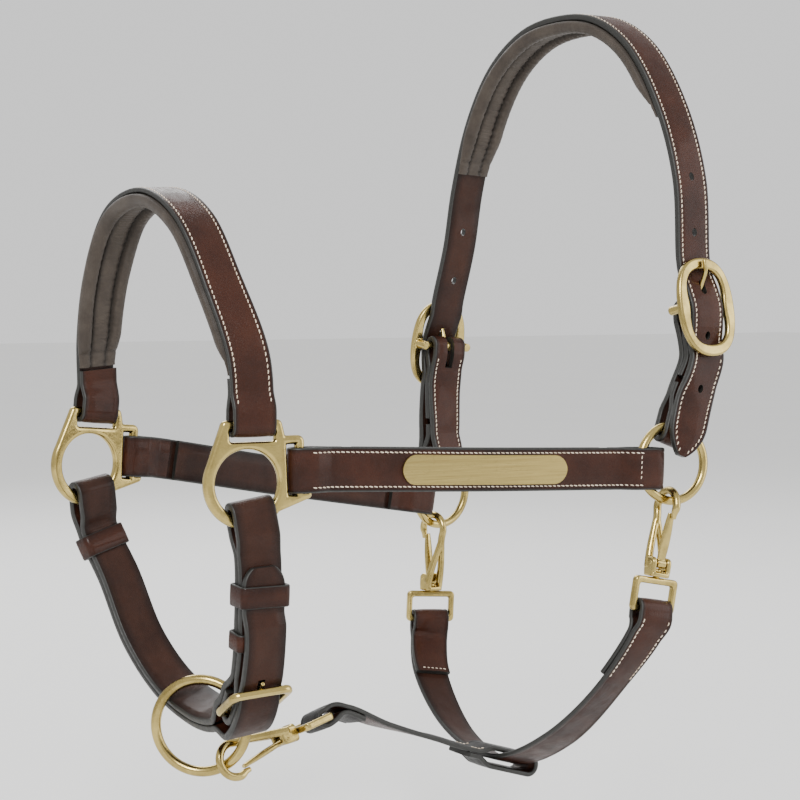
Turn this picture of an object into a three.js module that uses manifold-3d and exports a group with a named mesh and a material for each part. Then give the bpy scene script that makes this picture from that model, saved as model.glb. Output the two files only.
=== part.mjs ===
// A leather headcollar (halter) with solid brass hardware, in millimetres.
// +X points from the nose to the poll, +Y to the horse's right (the far side), +Z up.
// The origin is on the underside of the poll pad, at the top of the crown.
import * as THREE from "three";
import { mergeVertices } from "three/addons/utils/BufferGeometryUtils.js";
import Module from "manifold-3d";

const wasm = await Module();
wasm.setup();

// ---- Driving dimensions -------------------------------------------------------------------
const STRAP = 25; // width of every strap
const LINK_WIDTH = 22; // width of the strap that joins the chin to the throat
const PLY = 3; // one layer of the noseband, cheek, throat and link straps
const HEAVY_PLY = 4; // one layer of the chin strap and of the chapes under the buckles
const CROWN_PLY = 4.2; // the crown is two layers sewn together
const NAP = 0.4; // gap between two layers that lie on each other
const FIT = 0.4; // gap between leather and brass
const PAD = 7.5; // thickness of the soft pads
const PAD_WIDTH = 29;
const BLEND = 12; // length over which a turned strap closes up behind a bar

const CHEEK_RING = { radius: 22.7, wire: 2.7 };
const CHIN_RING = { radius: 27, wire: 3 };
const FITTING = { hole: 18.5, rim: 25, depth: 5.4, bar: 3.1 };
const FITTING_TOP_BAR = { along: 3.3, up: 31.6 };
const FITTING_SIDE_BAR = { along: 31.3, up: 6 };
const SNAP = { bendAt: 45, bend: 10, wire: 2.5, ringAt: 48.8, eyeDrop: 17, eyeBar: 2.7 };
const SNAP_PIVOT = { up: 10.6, out: 2 };
const BUCKLE = { width: 43.5, height: 60.5, window: 28.4, opening: 46.4, thick: 4.4, bar: 2.3, proud: 9.6 };
const CHIN_BUCKLE = { width: 38, reach: 26, wire: 2.3 };
const PLATE = { length: 107, width: 17, thick: 1.2 };

const V = (x, y, z) => new THREE.Vector3(x, y, z);
const UP = V(0, 0, 1);

// ---- Places of the hardware -----------------------------------------------------------------
// The near side is the horse's left (-Y), the far side its right (+Y).
const NEAR = { name: "near", out: -1 };
const FAR = { name: "far", out: 1 };
NEAR.fitting = V(-293.3, -83, -269);
FAR.fitting = V(-309, 82, -269.3);
NEAR.ring = V(-18.3, -117, -268.4);
FAR.ring = V(-23.6, 117, -304.6);
NEAR.bar = V(2.5, -113.5, -176.5);
FAR.bar = V(-22.5, 113.5, -203);
NEAR.buckleUp = V(-0.01, 0.2, 0.98).normalize();
FAR.buckleUp = V(0.06, -0.14, 0.99).normalize();
const CHIN_RING_AT = V(-277.8, -2, -417.3);
const CHIN_RING_AXIS = V(-0.669, -0.743, 0).normalize();
const CHIN_HEEL = V(-283.5, -64, -397);
NEAR.hang = V(-0.19, 0, -0.98).normalize();
FAR.hang = V(-0.05, 0, -0.999).normalize();
NEAR.hookAngle = -100; // where the snap hangs on its ring, from straight back
FAR.hookAngle = -106;
NEAR.eyeTurn = 8;
FAR.eyeTurn = -26;
const CHIN_SNAP_EYE = V(-218.65, -10, -426.33);
const CHIN_SNAP_UP = V(-0.97, -0.09, -0.24).normalize();
const CHIN_SNAP_OPEN = V(0.26, -0.33, -0.91);

const BRASS = { color: 0xb5a46c, roughness: 0.3, metalness: 1 };
const LEATHER = { color: 0x4a2d22, roughness: 0.5, metalness: 0 };
const LINING = { color: 0x51453d, roughness: 0.65, metalness: 0 };

const headcollar = new THREE.Group();
const add = (name, geometry, look, parent = headcollar) => {
  const mesh = new THREE.Mesh(geometry, new THREE.MeshStandardMaterial(look));
  mesh.name = name;
  parent.add(mesh);
  return mesh;
};

// ---- Solids ---------------------------------------------------------------------------------
function bare(geometry) {
  const g = geometry.clone();
  g.deleteAttribute("normal");
  g.deleteAttribute("uv");
  return mergeVertices(g, 1e-4);
}
function solid(geometry) {
  const g = bare(geometry);
  const vertProperties = new Float32Array(g.attributes.position.array);
  const triVerts = new Uint32Array(g.index.array);
  return new wasm.Manifold(new wasm.Mesh({ numProp: 3, vertProperties, triVerts }));
}
function toGeometry(manifold) {
  const m = manifold.getMesh();
  const g = new THREE.BufferGeometry();
  g.setAttribute("position", new THREE.BufferAttribute(m.vertProperties, 3));
  return g.setIndex(new THREE.BufferAttribute(m.triVerts, 1));
}
const join = (...geometries) => toGeometry(geometries.map(solid).reduce((a, b) => a.add(b)));
const cut = (geometry, ...tools) =>
  toGeometry(tools.map(solid).reduce((a, b) => a.subtract(b), solid(geometry)));
const box = (w, d, h, x, y, z) => new THREE.BoxGeometry(w, d, h).translate(x, y, z);
function cylinder(radius, length, along, centre, sides = 16) {
  const turn = new THREE.Quaternion().setFromUnitVectors(V(0, 1, 0), along.clone().normalize());
  const g = new THREE.CylinderGeometry(radius, radius, length, sides).applyQuaternion(turn);
  return g.translate(centre.x, centre.y, centre.z);
}
// A flat piece with its outline in the X-Z plane, its depth along Y and its edges rounded over.
function flat(shape, depth, bevel, curveSegments = 6, bevelSegments = 2) {
  const g = new THREE.ExtrudeGeometry(shape, {
    depth: depth - 2 * bevel,
    bevelSize: bevel,
    bevelThickness: bevel,
    bevelOffset: -bevel,
    bevelSegments,
    curveSegments,
  });
  return g.translate(0, 0, -(depth / 2 - bevel)).rotateX(Math.PI / 2);
}
function roundedLoop(path, left, right, bottom, top, r) {
  path.moveTo(left + r, bottom);
  path.lineTo(right - r, bottom);
  path.absarc(right - r, bottom + r, r, -Math.PI / 2, 0);
  path.lineTo(right, top - r);
  path.absarc(right - r, top - r, r, 0, Math.PI / 2);
  path.lineTo(left + r, top);
  path.absarc(left + r, top - r, r, Math.PI / 2, Math.PI);
  path.lineTo(left, bottom + r);
  path.absarc(left + r, bottom + r, r, Math.PI, 1.5 * Math.PI);
  return path;
}
const axes = (x, y, z, origin) => new THREE.Matrix4().makeBasis(x, y, z).setPosition(origin);

// ---- Sweeps ---------------------------------------------------------------------------------
// A route is a row of stations: a place, the direction along, across and out of the face.
function faced(route) {
  return route.map((st, i) => {
    const a = route[Math.max(0, i - 1)].at;
    const b = route[Math.min(route.length - 1, i + 1)].at;
    const along = b.clone().sub(a).normalize();
    const across = st.across.clone().addScaledVector(along, -st.across.dot(along)).normalize();
    return { ...st, along, across, out: new THREE.Vector3().crossVectors(across, along) };
  });
}
function stations(points, refs, steps) {
  const curve = new THREE.CatmullRomCurve3(points, false, "centripetal");
  curve.arcLengthDivisions = 600;
  const length = curve.getLength();
  const ref = refs.length > 1 ? new THREE.CatmullRomCurve3(refs) : { getPoint: () => refs[0].clone() };
  const paired = refs.length === points.length;
  const route = Array.from({ length: steps + 1 }, (_, i) => {
    const u = i / steps;
    const across = ref.getPoint(paired ? curve.getUtoTmapping(u) : u);
    return { at: curve.getPointAt(u), across, s: u * length };
  });
  const line = faced(route);
  line.total = length;
  return line;
}
// The closed body whose section at each station is given by corner pairs (across, out).
function sweep(route, corners) {
  const position = [];
  const index = [];
  const count = corners(0, route[0]).length;
  route.forEach((st, i) => {
    for (const [a, o] of corners(i / (route.length - 1), st)) {
      const p = st.at.clone().addScaledVector(st.across, a).addScaledVector(st.out, o);
      position.push(p.x, p.y, p.z);
    }
  });
  for (let i = 0; i + 1 < route.length; i++)
    for (let k = 0; k < count; k++) {
      const a = count * i + k;
      const b = count * i + ((k + 1) % count);
      index.push(a, b, a + count, b, b + count, a + count);
    }
  const last = count * (route.length - 1);
  for (let k = 1; k + 1 < count; k++) {
    index.push(0, k + 1, k);
    index.push(last, last + k, last + k + 1);
  }
  const g = new THREE.BufferGeometry();
  g.setAttribute("position", new THREE.Float32BufferAttribute(position, 3));
  return g.setIndex(index);
}
// Leaves out the stations that a straight run between their neighbours would replace.
function thinned(route, bend = 4, reach = 24) {
  const limit = Math.cos(THREE.MathUtils.degToRad(bend));
  let last = route[0];
  return route.filter((st, i) => {
    const next = route[i + 1];
    if (i === 0 || !next) return true;
    const steady = next.along.dot(last.along) > limit && next.across.dot(last.across) > limit;
    const keep = !steady || st.at.distanceTo(last.at) > reach || (st.width ?? 0) !== (next.width ?? 0);
    if (keep) last = st;
    return keep;
  });
}
function ribbon(full, width, thick) {
  const widthAt = typeof width === "function" ? width : () => width;
  const sized = full.map((st, i) => ({ ...st, width: widthAt(i / (full.length - 1), st) }));
  return sweep(thinned(sized), (t, st) => {
    const w = st.width / 2;
    const h = thick / 2;
    return [[-w, -h], [-w, h], [w, h], [w, -h]];
  });
}
function rod(points, radius, steps = 12, sides = 10, ref = V(0, 1, 0), flatten = 1) {
  const radiusAt = typeof radius === "function" ? radius : () => radius;
  return sweep(stations(points, [ref], steps), (t) =>
    Array.from({ length: sides }, (_, k) => {
      const a = (-2 * Math.PI * k) / sides;
      return [radiusAt(t) * flatten * Math.cos(a), radiusAt(t) * Math.sin(a)];
    }),
  );
}
const ease = (t) => {
  const c = THREE.MathUtils.clamp(t, 0, 1);
  return c * c * (3 - 2 * c);
};
const shifted = (st, offset) => ({ ...st, at: st.at.clone().addScaledVector(st.out, offset) });
// The half turn of a strap round a bar: from the face it leaves to the face it comes back on.
function turn(st, radius, fromSide, away, count = 7) {
  return Array.from({ length: count - 1 }, (_, i) => {
    const a = (Math.PI * (i + 1)) / count;
    const at = st.at.clone();
    at.addScaledVector(st.out, fromSide * radius * Math.cos(a));
    at.addScaledVector(st.along, away * radius * Math.sin(a));
    return { ...st, at };
  });
}
// A strap turned back round what it holds at one or both ends of its line. The long layer lies
// on the outer (+1) or inner (-1) side of the line.
function turnedStrap({ line, side, start, end, width = STRAP, thick = PLY }) {
  const base = (thick + NAP) / 2;
  const lift = (d, hold) => (hold ? (hold.radius - base) * (1 - ease((d - hold.run) / BLEND)) : 0);
  const offset = (s) => base + lift(s, start) + lift(line.total - s, end);
  const route = [];
  if (start) {
    const tail = line.filter((st) => st.s > 0 && st.s <= start.tail).reverse();
    route.push(...tail.map((st) => shifted(st, -side * offset(st.s))));
    route.push(shifted(line[0], -side * start.radius));
    route.push(...turn(line[0], start.radius, -side, -1));
  }
  route.push(...line.map((st) => shifted(st, side * offset(st.s))));
  if (end) {
    const last = line[line.length - 1];
    const tail = line.filter((st) => st.s < line.total && line.total - st.s <= end.tail).reverse();
    route.push(...turn(last, end.radius, side, 1));
    route.push(shifted(last, -side * end.radius));
    route.push(...tail.map((st) => shifted(st, -side * offset(st.s))));
  }
  return ribbon(faced(route), width, thick);
}
// A soft pad under the inner face of a strap, thinned towards both of its ends.
function padBody(inner, drop, taperRun) {
  const first = inner[0].s;
  const last = inner[inner.length - 1].s;
  const level = (st) => ease(Math.min(st.s - first, last - st.s) / taperRun);
  const under = faced(inner.map((st) => ({ ...shifted(st, -drop), width: 0.42 + 0.58 * level(st) })));
  return sweep(thinned(under), (t, st) => {
    const h = PAD * st.width;
    const w = PAD_WIDTH / 2;
    const left = [[-w + 2.6, -h], [-w, -h + 1.3], [-w, -1.6], [-w + 2, 0]];
    return [[w - 2, 0], [w, -1.6], [w, -h + 1.3], [w - 2.6, -h], ...left];
  });
}
const part = (line, from, to) => line.filter((st) => st.s >= from && st.s <= to);

// ---- Frames of the two fittings ----------------------------------------------------------------
for (const side of [NEAR, FAR]) {
  const other = side.ring.clone().sub(side.fitting);
  side.along = V(other.x, other.y, 0).normalize();
  side.tilt = Math.atan2(other.z, Math.hypot(other.x, other.y)) * 0.72;
  const cos = Math.cos(side.tilt);
  const sin = Math.sin(side.tilt);
  side.fittingX = side.along.clone().multiplyScalar(cos).addScaledVector(UP, sin);
  side.fittingZ = side.along.clone().multiplyScalar(-sin).addScaledVector(UP, cos);
  side.onFitting = (u, w) =>
    side.fitting.clone().addScaledVector(side.fittingX, u).addScaledVector(side.fittingZ, w);
}

function fittingGeometry() {
  const f = FITTING;
  const shape = new THREE.Shape();
  const from = THREE.MathUtils.degToRad(155);
  const to = THREE.MathUtils.degToRad(320);
  shape.absarc(0, 0, f.rim, from, to, false);
  shape.lineTo(34.6, -10.6);
  shape.lineTo(38.4, -8.6);
  shape.lineTo(38.2, -5.4);
  shape.lineTo(34, -5.2);
  shape.lineTo(34, 21.5);
  shape.quadraticCurveTo(34, 25.4, 30, 25.4);
  shape.lineTo(22.6, 25.4);
  shape.lineTo(21.2, 31);
  shape.quadraticCurveTo(20.6, 34.4, 17.4, 34.4);
  shape.lineTo(-11, 34.4);
  shape.quadraticCurveTo(-14.4, 34.4, -15.2, 31);
  const slot = new THREE.Path();
  roundedLoop(slot, -9.8, 16.4, 22.6, 29.2, 1.4);
  const side = new THREE.Path();
  side.moveTo(24.6, -7);
  side.lineTo(28.8, -7);
  side.lineTo(28.8, 20.4);
  side.lineTo(23.4, 20.4);
  side.closePath();
  const eye = new THREE.Path();
  eye.absarc(0, 0, f.hole, 0, 2 * Math.PI, false);
  shape.holes.push(slot, side, eye);
  return flat(shape, f.depth, 1, 7, 1);
}

// ---- Noseband ---------------------------------------------------------------------------------
{
  const start = NEAR.onFitting(FITTING_TOP_BAR.along, FITTING_TOP_BAR.up);
  const end = FAR.onFitting(FITTING_TOP_BAR.along, FITTING_TOP_BAR.up);
  const arch = [
    start,
    NEAR.onFitting(FITTING_TOP_BAR.along, FITTING_TOP_BAR.up + 12),
    V(-292, -82.3, -200),
    V(-298.6, -67, -162),
    V(-302.6, -41, -125),
    V(-303, 0, -109.5),
    V(-303.8, 41, -120),
    V(-304.6, 66, -155),
    V(-303.6, 79.5, -193),
    FAR.onFitting(FITTING_TOP_BAR.along, FITTING_TOP_BAR.up + 12),
    end,
  ];
  const flatAcross = V(1, 0, 0.03);
  const refs = [
    NEAR.fittingX,
    NEAR.fittingX,
    V(1, -0.1, 0.05),
    ...Array.from({ length: 5 }, () => flatAcross),
    V(1, 0.1, 0),
    FAR.fittingX,
    FAR.fittingX,
  ];
  const line = stations(arch, refs, 64);
  const hold = { radius: FITTING.bar + FIT + PLY / 2 + 0.1, run: 7, tail: 22 };
  add("noseband_strap", turnedStrap({ line, side: 1, start: hold, end: hold }), LEATHER);
  add("noseband_pad", padBody(part(line, 28, line.total - 28), NAP, 22), LINING);
}

// ---- Fittings, cheek rings and cheek straps ---------------------------------------------------
for (const side of [NEAR, FAR]) {
  const y = side.fittingZ.clone().cross(side.fittingX);
  const place = axes(side.fittingX, y, side.fittingZ, side.fitting);
  add(`${side.name}_fitting`, fittingGeometry().applyMatrix4(place), BRASS);

  side.towards = side.bar.clone().sub(side.ring).normalize();
  side.ringAxis = side.towards.clone().cross(side.along).normalize();
  side.ringUp = UP.clone().addScaledVector(side.ringAxis, -side.ringAxis.z).normalize();
  side.ringBack = side.ringUp.clone().cross(side.ringAxis).multiplyScalar(-1);
  if (side.ringBack.x < 0) side.ringBack.negate();
  const ringSide = side.ringUp.clone().cross(side.ringAxis);
  const ringFrame = axes(ringSide, side.ringUp, side.ringAxis, side.ring);
  const ring = new THREE.TorusGeometry(CHEEK_RING.radius, CHEEK_RING.wire, 8, 36);
  add(`${side.name}_cheek_ring`, ring.applyMatrix4(ringFrame), BRASS);

  side.held = side.out < 0 ? 14.6 : 15.3;
  const across = side.out < 0 ? V(0, 0, -1) : UP.clone();
  const outward = new THREE.Vector3().crossVectors(across, side.along);
  const start = side.onFitting(FITTING_SIDE_BAR.along, FITTING_SIDE_BAR.up);
  const end = side.ring.clone().addScaledVector(side.along, -side.held);
  end.addScaledVector(side.ringUp, side.out < 0 ? -2.5 : -1.7);
  const middle = start.clone().lerp(end, 0.5).addScaledVector(outward, 2.5);
  const lead = start.clone().addScaledVector(side.fittingX, 12).addScaledVector(outward, 0.4);
  const refs = [side.fittingZ, side.fittingZ, UP, UP].map((v) => v.clone().multiplyScalar(side.out));
  const line = stations([start, lead, middle, end], refs, 44);
  side.cheekLine = line;
  const startHold = { radius: FITTING.bar + FIT + PLY / 2 + 0.1, run: 7, tail: 26 };
  const ringRun = 14;
  const endHold = { radius: CHEEK_RING.wire + FIT + PLY / 2 + 1, run: ringRun, tail: 32 };
  const strap = turnedStrap({ line, side: 1, start: startHold, end: endHold });
  add(`${side.name}_cheek_strap`, strap, LEATHER);
  const inner = part(line, 32, line.total - 38);
  const under = faced(inner.map((st) => shifted(st, -(PLY + NAP) / 2)));
  add(`${side.name}_cheek_lining`, ribbon(under, STRAP, PLY), LEATHER);
}

// ---- Nameplate --------------------------------------------------------------------------------
{
  const line = NEAR.cheekLine;
  const middle = 0.495 * line.total;
  const halfLength = PLATE.length / 2;
  const run = stations(
    part(line, middle - halfLength - 6, middle + halfLength + 6).map((st) => st.at),
    [line[0].across],
    60,
  );
  const level = NAP / 2 + PLY + 0.2 + PLATE.thick / 2;
  const on = faced(run.map((st) => shifted(st, level)));
  const centre = run.total / 2;
  const within = on.filter((st) => Math.abs(st.s - centre) < halfLength - 0.05);
  const r = PLATE.width / 2;
  const width = (t, st) => {
    const d = halfLength - Math.abs(st.s - centre);
    return d >= r ? PLATE.width : 2 * Math.sqrt(Math.max(0.3, r * r - (r - d) ** 2));
  };
  add("nameplate", ribbon(within, width, PLATE.thick), BRASS);
}

// ---- Crown buckles and the chapes that hold them --------------------------------------------------
function buckleShape() {
  const w = BUCKLE.width / 2;
  const h = BUCKLE.height / 2;
  const shape = new THREE.Shape();
  shape.moveTo(0, -h);
  shape.bezierCurveTo(w * 0.72, -h, w, -h * 0.62, w, 0);
  shape.bezierCurveTo(w, h * 0.62, w * 0.72, h, 0, h);
  shape.bezierCurveTo(-w * 0.72, h, -w, h * 0.62, -w, 0);
  shape.bezierCurveTo(-w, -h * 0.62, -w * 0.72, -h, 0, -h);
  const a = BUCKLE.window / 2;
  const b = BUCKLE.opening / 2;
  const window = new THREE.Path();
  window.moveTo(0, -b);
  window.bezierCurveTo(a * 0.8, -b, a + 0.4, -b * 0.72, a, -b * 0.3);
  window.lineTo(a - 0.8, 0);
  window.lineTo(a, b * 0.3);
  window.bezierCurveTo(a + 0.4, b * 0.72, a * 0.8, b, 0, b);
  window.bezierCurveTo(-a * 0.8, b, -a - 0.4, b * 0.72, -a, b * 0.3);
  window.lineTo(-a + 0.8, 0);
  window.lineTo(-a, -b * 0.3);
  window.bezierCurveTo(-a - 0.4, -b * 0.72, -a * 0.8, -b, 0, -b);
  shape.holes.push(window);
  return shape;
}
// The frame of a buckle: X along its bar, Y out of its face, Z towards the crown.
function buckleFrame() {
  const proud = BUCKLE.proud;
  const frame = flat(buckleShape(), BUCKLE.thick, 1.4, 6).translate(0, proud, 0);
  const span = BUCKLE.width - 9;
  const bar = cylinder(BUCKLE.bar, span, V(1, 0, 0), V(0, 0, 0), 12);
  const posts = [-1, 1].map((k) => {
    const middle = V((k * span) / 2, (proud - 2.2) / 2, 0);
    return cylinder(2.9, proud + 2.2, V(0, 1, 0), middle, 12);
  });
  return join(frame, bar, ...posts);
}
// The tongue: a knuckle round the bar and a curved shank that ends over the frame.
const TONGUE_PATH = [V(0, 2.6, 2), V(0, 4.2, 7), V(0, 9.2, 15), V(0, 13.7, 21.5), V(0, 13.9, 28)];
function tongue() {
  const knuckle = cylinder(4.1, 4.4, V(1, 0, 0), V(0, 0, 0), 14);
  const bore = cylinder(BUCKLE.bar + 0.35, 8, V(1, 0, 0), V(0, 0, 0), 14);
  const shank = rod(TONGUE_PATH, (t) => 1.55 - 0.35 * t, 9, 8, V(1, 0, 0));
  return cut(join(knuckle, shank), bore);
}
function tongueRoom(reach = 14) {
  const turns = [0, 0.5, 1].map((share) => THREE.MathUtils.degToRad(-reach * share));
  return turns.map((a) => rod(TONGUE_PATH, 2.6, 7, 4, V(1, 0, 0)).rotateX(a));
}

for (const side of [NEAR, FAR]) {
  const x = V(1, 0, 0).addScaledVector(side.buckleUp, -side.buckleUp.x).normalize();
  const outward = new THREE.Vector3().crossVectors(x, side.buckleUp).multiplyScalar(-side.out);
  // X is reversed on the near side so that the three axes stay right-handed
  const bx = side.out < 0 ? x.clone().negate() : x.clone();
  side.buckle = axes(bx, outward, side.buckleUp, side.bar);
  side.onBuckle = (out, up) => V(0, out, up).applyMatrix4(side.buckle);
  add(`${side.name}_buckle`, buckleFrame().applyMatrix4(side.buckle), BRASS);
  add(`${side.name}_tongue`, tongue().applyMatrix4(side.buckle), BRASS);

  const ringTangent = side.towards.clone().cross(side.ringAxis).normalize();
  if (ringTangent.x * side.out > 0) ringTangent.negate();
  const start = side.ring.clone().addScaledVector(side.towards, side.out < 0 ? 16.6 : 18.1);
  const across = side.out < 0 ? x.clone() : x.clone().negate();
  const low = side.bar.clone().addScaledVector(side.buckleUp, -30);
  low.addScaledVector(outward, -3.5);
  const lower = start.clone().lerp(low, 0.5).addScaledVector(outward, -0.8);
  const high = side.bar.clone().addScaledVector(side.buckleUp, -12).addScaledVector(outward, -1.9);
  const chapeRefs = [ringTangent, ringTangent, across, across, across];
  const line = stations([start, lower, low, high, side.bar.clone()], chapeRefs, 34);
  side.chapeLine = line;
  const startHold = { radius: CHEEK_RING.wire + FIT + HEAVY_PLY / 2 + 0.3, run: 12, tail: 30 };
  const endHold = { radius: BUCKLE.bar + FIT + HEAVY_PLY / 2, run: 4.5, tail: line.total - 34 };
  const strap = turnedStrap({ line, side: -1, start: startHold, end: endHold, thick: HEAVY_PLY });
  const slot = box(5.6, 18, 24, 0, 0, -2).applyMatrix4(side.buckle);
  add(`${side.name}_chape`, cut(strap, slot), LEATHER);
}

// ---- Crown strap and poll pad -------------------------------------------------------------------
{
  // Where the billet runs on one side: down through the buckle and over the chape to its tip.
  const billet = (side) => {
    const line = side.chapeLine;
    const over = (fromRing, lift) => {
      const st = line.reduce((a, b) => (Math.abs(b.s - fromRing) < Math.abs(a.s - fromRing) ? b : a));
      return st.at.clone().addScaledVector(st.out, lift);
    };
    const level = HEAVY_PLY + NAP / 2 + NAP + CROWN_PLY / 2;
    const under = BUCKLE.proud - BUCKLE.thick / 2 - FIT - CROWN_PLY / 2 - 0.3;
    return [
      over(0, level + 3.4).addScaledVector(line[0].along, -13),
      over(4, level + 3.6),
      over(22, level + 2.6),
      over(32, level + 1.8),
      side.onBuckle(under - 0.3, -30),
      side.onBuckle(under - 0.2, -21.5),
      side.onBuckle(under + 3.1, -10.5),
      side.onBuckle(BUCKLE.proud, 0),
      side.onBuckle(under + 3.1, 10.5),
      side.onBuckle(under - 0.2, 21.5),
      side.onBuckle(under - 0.4, 31),
    ];
  };
  const over = [
    V(3, -107, -97.6),
    V(2.5, -91, -53),
    V(1.2, -63, -13),
    V(-0.5, -32, 6),
    V(-2.5, 0, 10),
    V(-6, 33, 4.2),
    V(-8.5, 64, -16),
    V(-10.5, 87, -50),
    V(-13, 101, -95),
    V(-16, 106.5, -135),
  ];
  const points = [...billet(NEAR), ...over, ...billet(FAR).reverse()];
  // across: square to the chape below the buckle, to the bar in it and to the horse above it
  const refsOf = (side) => {
    const bar = V(1, 0, 0).transformDirection(side.buckle).multiplyScalar(side.out < 0 ? 1 : -1);
    const at = side.chapeLine[6].across.clone().multiplyScalar(-side.out);
    if (bar.x < 0) bar.negate();
    if (at.x < 0) at.negate();
    return [at, at, at, bar, bar, bar, bar, bar, bar, bar, bar];
  };
  const refs = [...refsOf(NEAR), ...over.map(() => V(1, 0, 0)), ...refsOf(FAR).reverse()];
  const line = stations(points, refs, 110);
  const tip = 22;
  const width = (t, st) => {
    const d = Math.min(st.s, line.total - st.s);
    const narrowed = STRAP * Math.sin((Math.PI / 2) * Math.min(1, (d + 1.5) / tip) ** 0.75);
    return d > tip ? STRAP : Math.max(3, narrowed);
  };
  const strap = ribbon(line, width, CROWN_PLY);
  const room = [NEAR, FAR].flatMap((side) => tongueRoom().map((g) => g.applyMatrix4(side.buckle)));
  const near = (p) => line.reduce((a, b) => (b.at.distanceTo(p) < a.at.distanceTo(p) ? b : a));
  const holes = [NEAR, FAR].flatMap((side) => {
    const at = near(side.onBuckle(6, 14)).s;
    return [-66, -33, 33, 66].map((d) => {
      const s = side.out < 0 ? at + d : at - d;
      const st = line.reduce((a, b) => (Math.abs(b.s - s) < Math.abs(a.s - s) ? b : a));
      return cylinder(2.1, 12, st.out, st.at, 8);
    });
  });
  add("crown_strap", cut(strap, ...room, ...holes), LEATHER);

  const inner = line.filter((st) => st.at.z > (st.at.y < 0 ? -57 : -86));
  add("poll_pad", padBody(inner, CROWN_PLY / 2 + NAP, 30), LINING);
}

// ---- Snaps --------------------------------------------------------------------------------------
// In a snap's own frame Z points from the eye to the ring, X to the opening and Y is its thickness.
function eyeGeometry() {
  const w = STRAP / 2 + 4.4;
  const shape = roundedLoop(new THREE.Shape(), -w, w, -SNAP.eyeDrop - 2.2, 2.1, 3);
  shape.holes.push(roundedLoop(new THREE.Path(), -w + 3.8, w - 3.8, -SNAP.eyeDrop + 2.2, -2.1, 1.5));
  const loop = flat(shape, 4.4, 1.1, 2, 1).rotateZ(Math.PI / 2);
  const stem = cylinder(1.9, 6.6, UP, V(0, 0, 3.6), 14);
  const head = cylinder(2.8, 1.7, UP, V(0, 0, 6.3), 14);
  return join(loop, stem, head);
}
function hookGeometry() {
  const { bendAt, bend, wire } = SNAP;
  const base = box(11, 13.6, 2.8, 0, 0, 3.9);
  const lugs = [-1, 1].map((k) => box(10, 3.2, 11.5, 0, k * 5.2, 8.6));
  const legs = [-1, 1].map((k) =>
    rod([V(-2.5, k * 5.2, 8), V(-4.6, k * 4.2, 18), V(-7.2, k * 1.9, 30), V(-8.6, k * 0.5, 37)], 2, 5, 6),
  );
  const arc = Array.from({ length: 9 }, (_, i) => {
    const a = Math.PI - (Math.PI * i) / 8;
    return V(bend * Math.cos(a), 0, bendAt + bend * Math.sin(a));
  });
  const bent = [V(-8.3, 0, 34), V(-8.9, 0, 40), ...arc, V(8.9, 0, 41.5), V(8.6, 0, 38)];
  const hook = rod(bent, (t) => wire - 0.9 * ease((t - 0.85) / 0.15), 18, 8);
  const stemHole = cylinder(2.3, 8, UP, V(0, 0, 3.9), 16);
  const pinHole = cylinder(1.35, 20, V(0, 1, 0), V(SNAP_PIVOT.out, 0, SNAP_PIVOT.up), 14);
  return cut(join(base, ...lugs, ...legs, hook), stemHole, pinHole);
}
function gateGeometry() {
  const pivot = V(SNAP_PIVOT.out, 0, SNAP_PIVOT.up);
  const knuckle = cylinder(2.7, 5.6, V(0, 1, 0), pivot, 16);
  const rising = [pivot.clone(), V(3.4, 0, 24), V(4.2, 0, 34), V(4.6, 0, 41.5)];
  const leaf = rod(rising, (t) => 1.55 - 0.35 * t, 8, 8, V(0, 1, 0), 1.7);
  const bore = cylinder(1.35, 20, V(0, 1, 0), pivot, 14);
  return cut(join(knuckle, leaf), bore);
}
function snap(name, frame, eyeTurn = 0) {
  const eye = eyeGeometry().rotateZ(THREE.MathUtils.degToRad(eyeTurn));
  add(`${name}_eye`, eye.applyMatrix4(frame), BRASS);
  add(`${name}_hook`, hookGeometry().applyMatrix4(frame), BRASS);
  add(`${name}_gate`, gateGeometry().applyMatrix4(frame), BRASS);
  const pin = cylinder(1.05, 13.4, V(0, 1, 0), V(SNAP_PIVOT.out, 0, SNAP_PIVOT.up), 12);
  add(`${name}_pin`, pin.applyMatrix4(frame), BRASS);
}

for (const side of [NEAR, FAR]) {
  const angle = THREE.MathUtils.degToRad(side.hookAngle);
  const cos = Math.cos(angle);
  const sin = Math.sin(angle);
  const radial = side.ringBack.clone().multiplyScalar(cos).addScaledVector(side.ringUp, sin);
  const wire = side.ringBack.clone().multiplyScalar(-sin).addScaledVector(side.ringUp, cos);
  const contact = side.ring.clone().addScaledVector(radial, CHEEK_RING.radius);
  const z = side.hang.clone().negate();
  const y = wire.addScaledVector(z, -wire.dot(z)).normalize();
  const x = new THREE.Vector3().crossVectors(y, z);
  if (x.y * side.out < 0) {
    x.negate();
    y.negate();
  }
  side.eyeAt = contact.addScaledVector(side.hang, SNAP.ringAt);
  side.snap = axes(x, y, z, side.eyeAt);
  const turned = V(0, 1, 0).applyAxisAngle(UP, THREE.MathUtils.degToRad(side.eyeTurn));
  side.eyeAcross = turned.transformDirection(side.snap);
  if (side.eyeAcross.x > 0) side.eyeAcross.negate();
  snap(`${side.name}_snap`, side.snap, side.eyeTurn);
}

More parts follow.
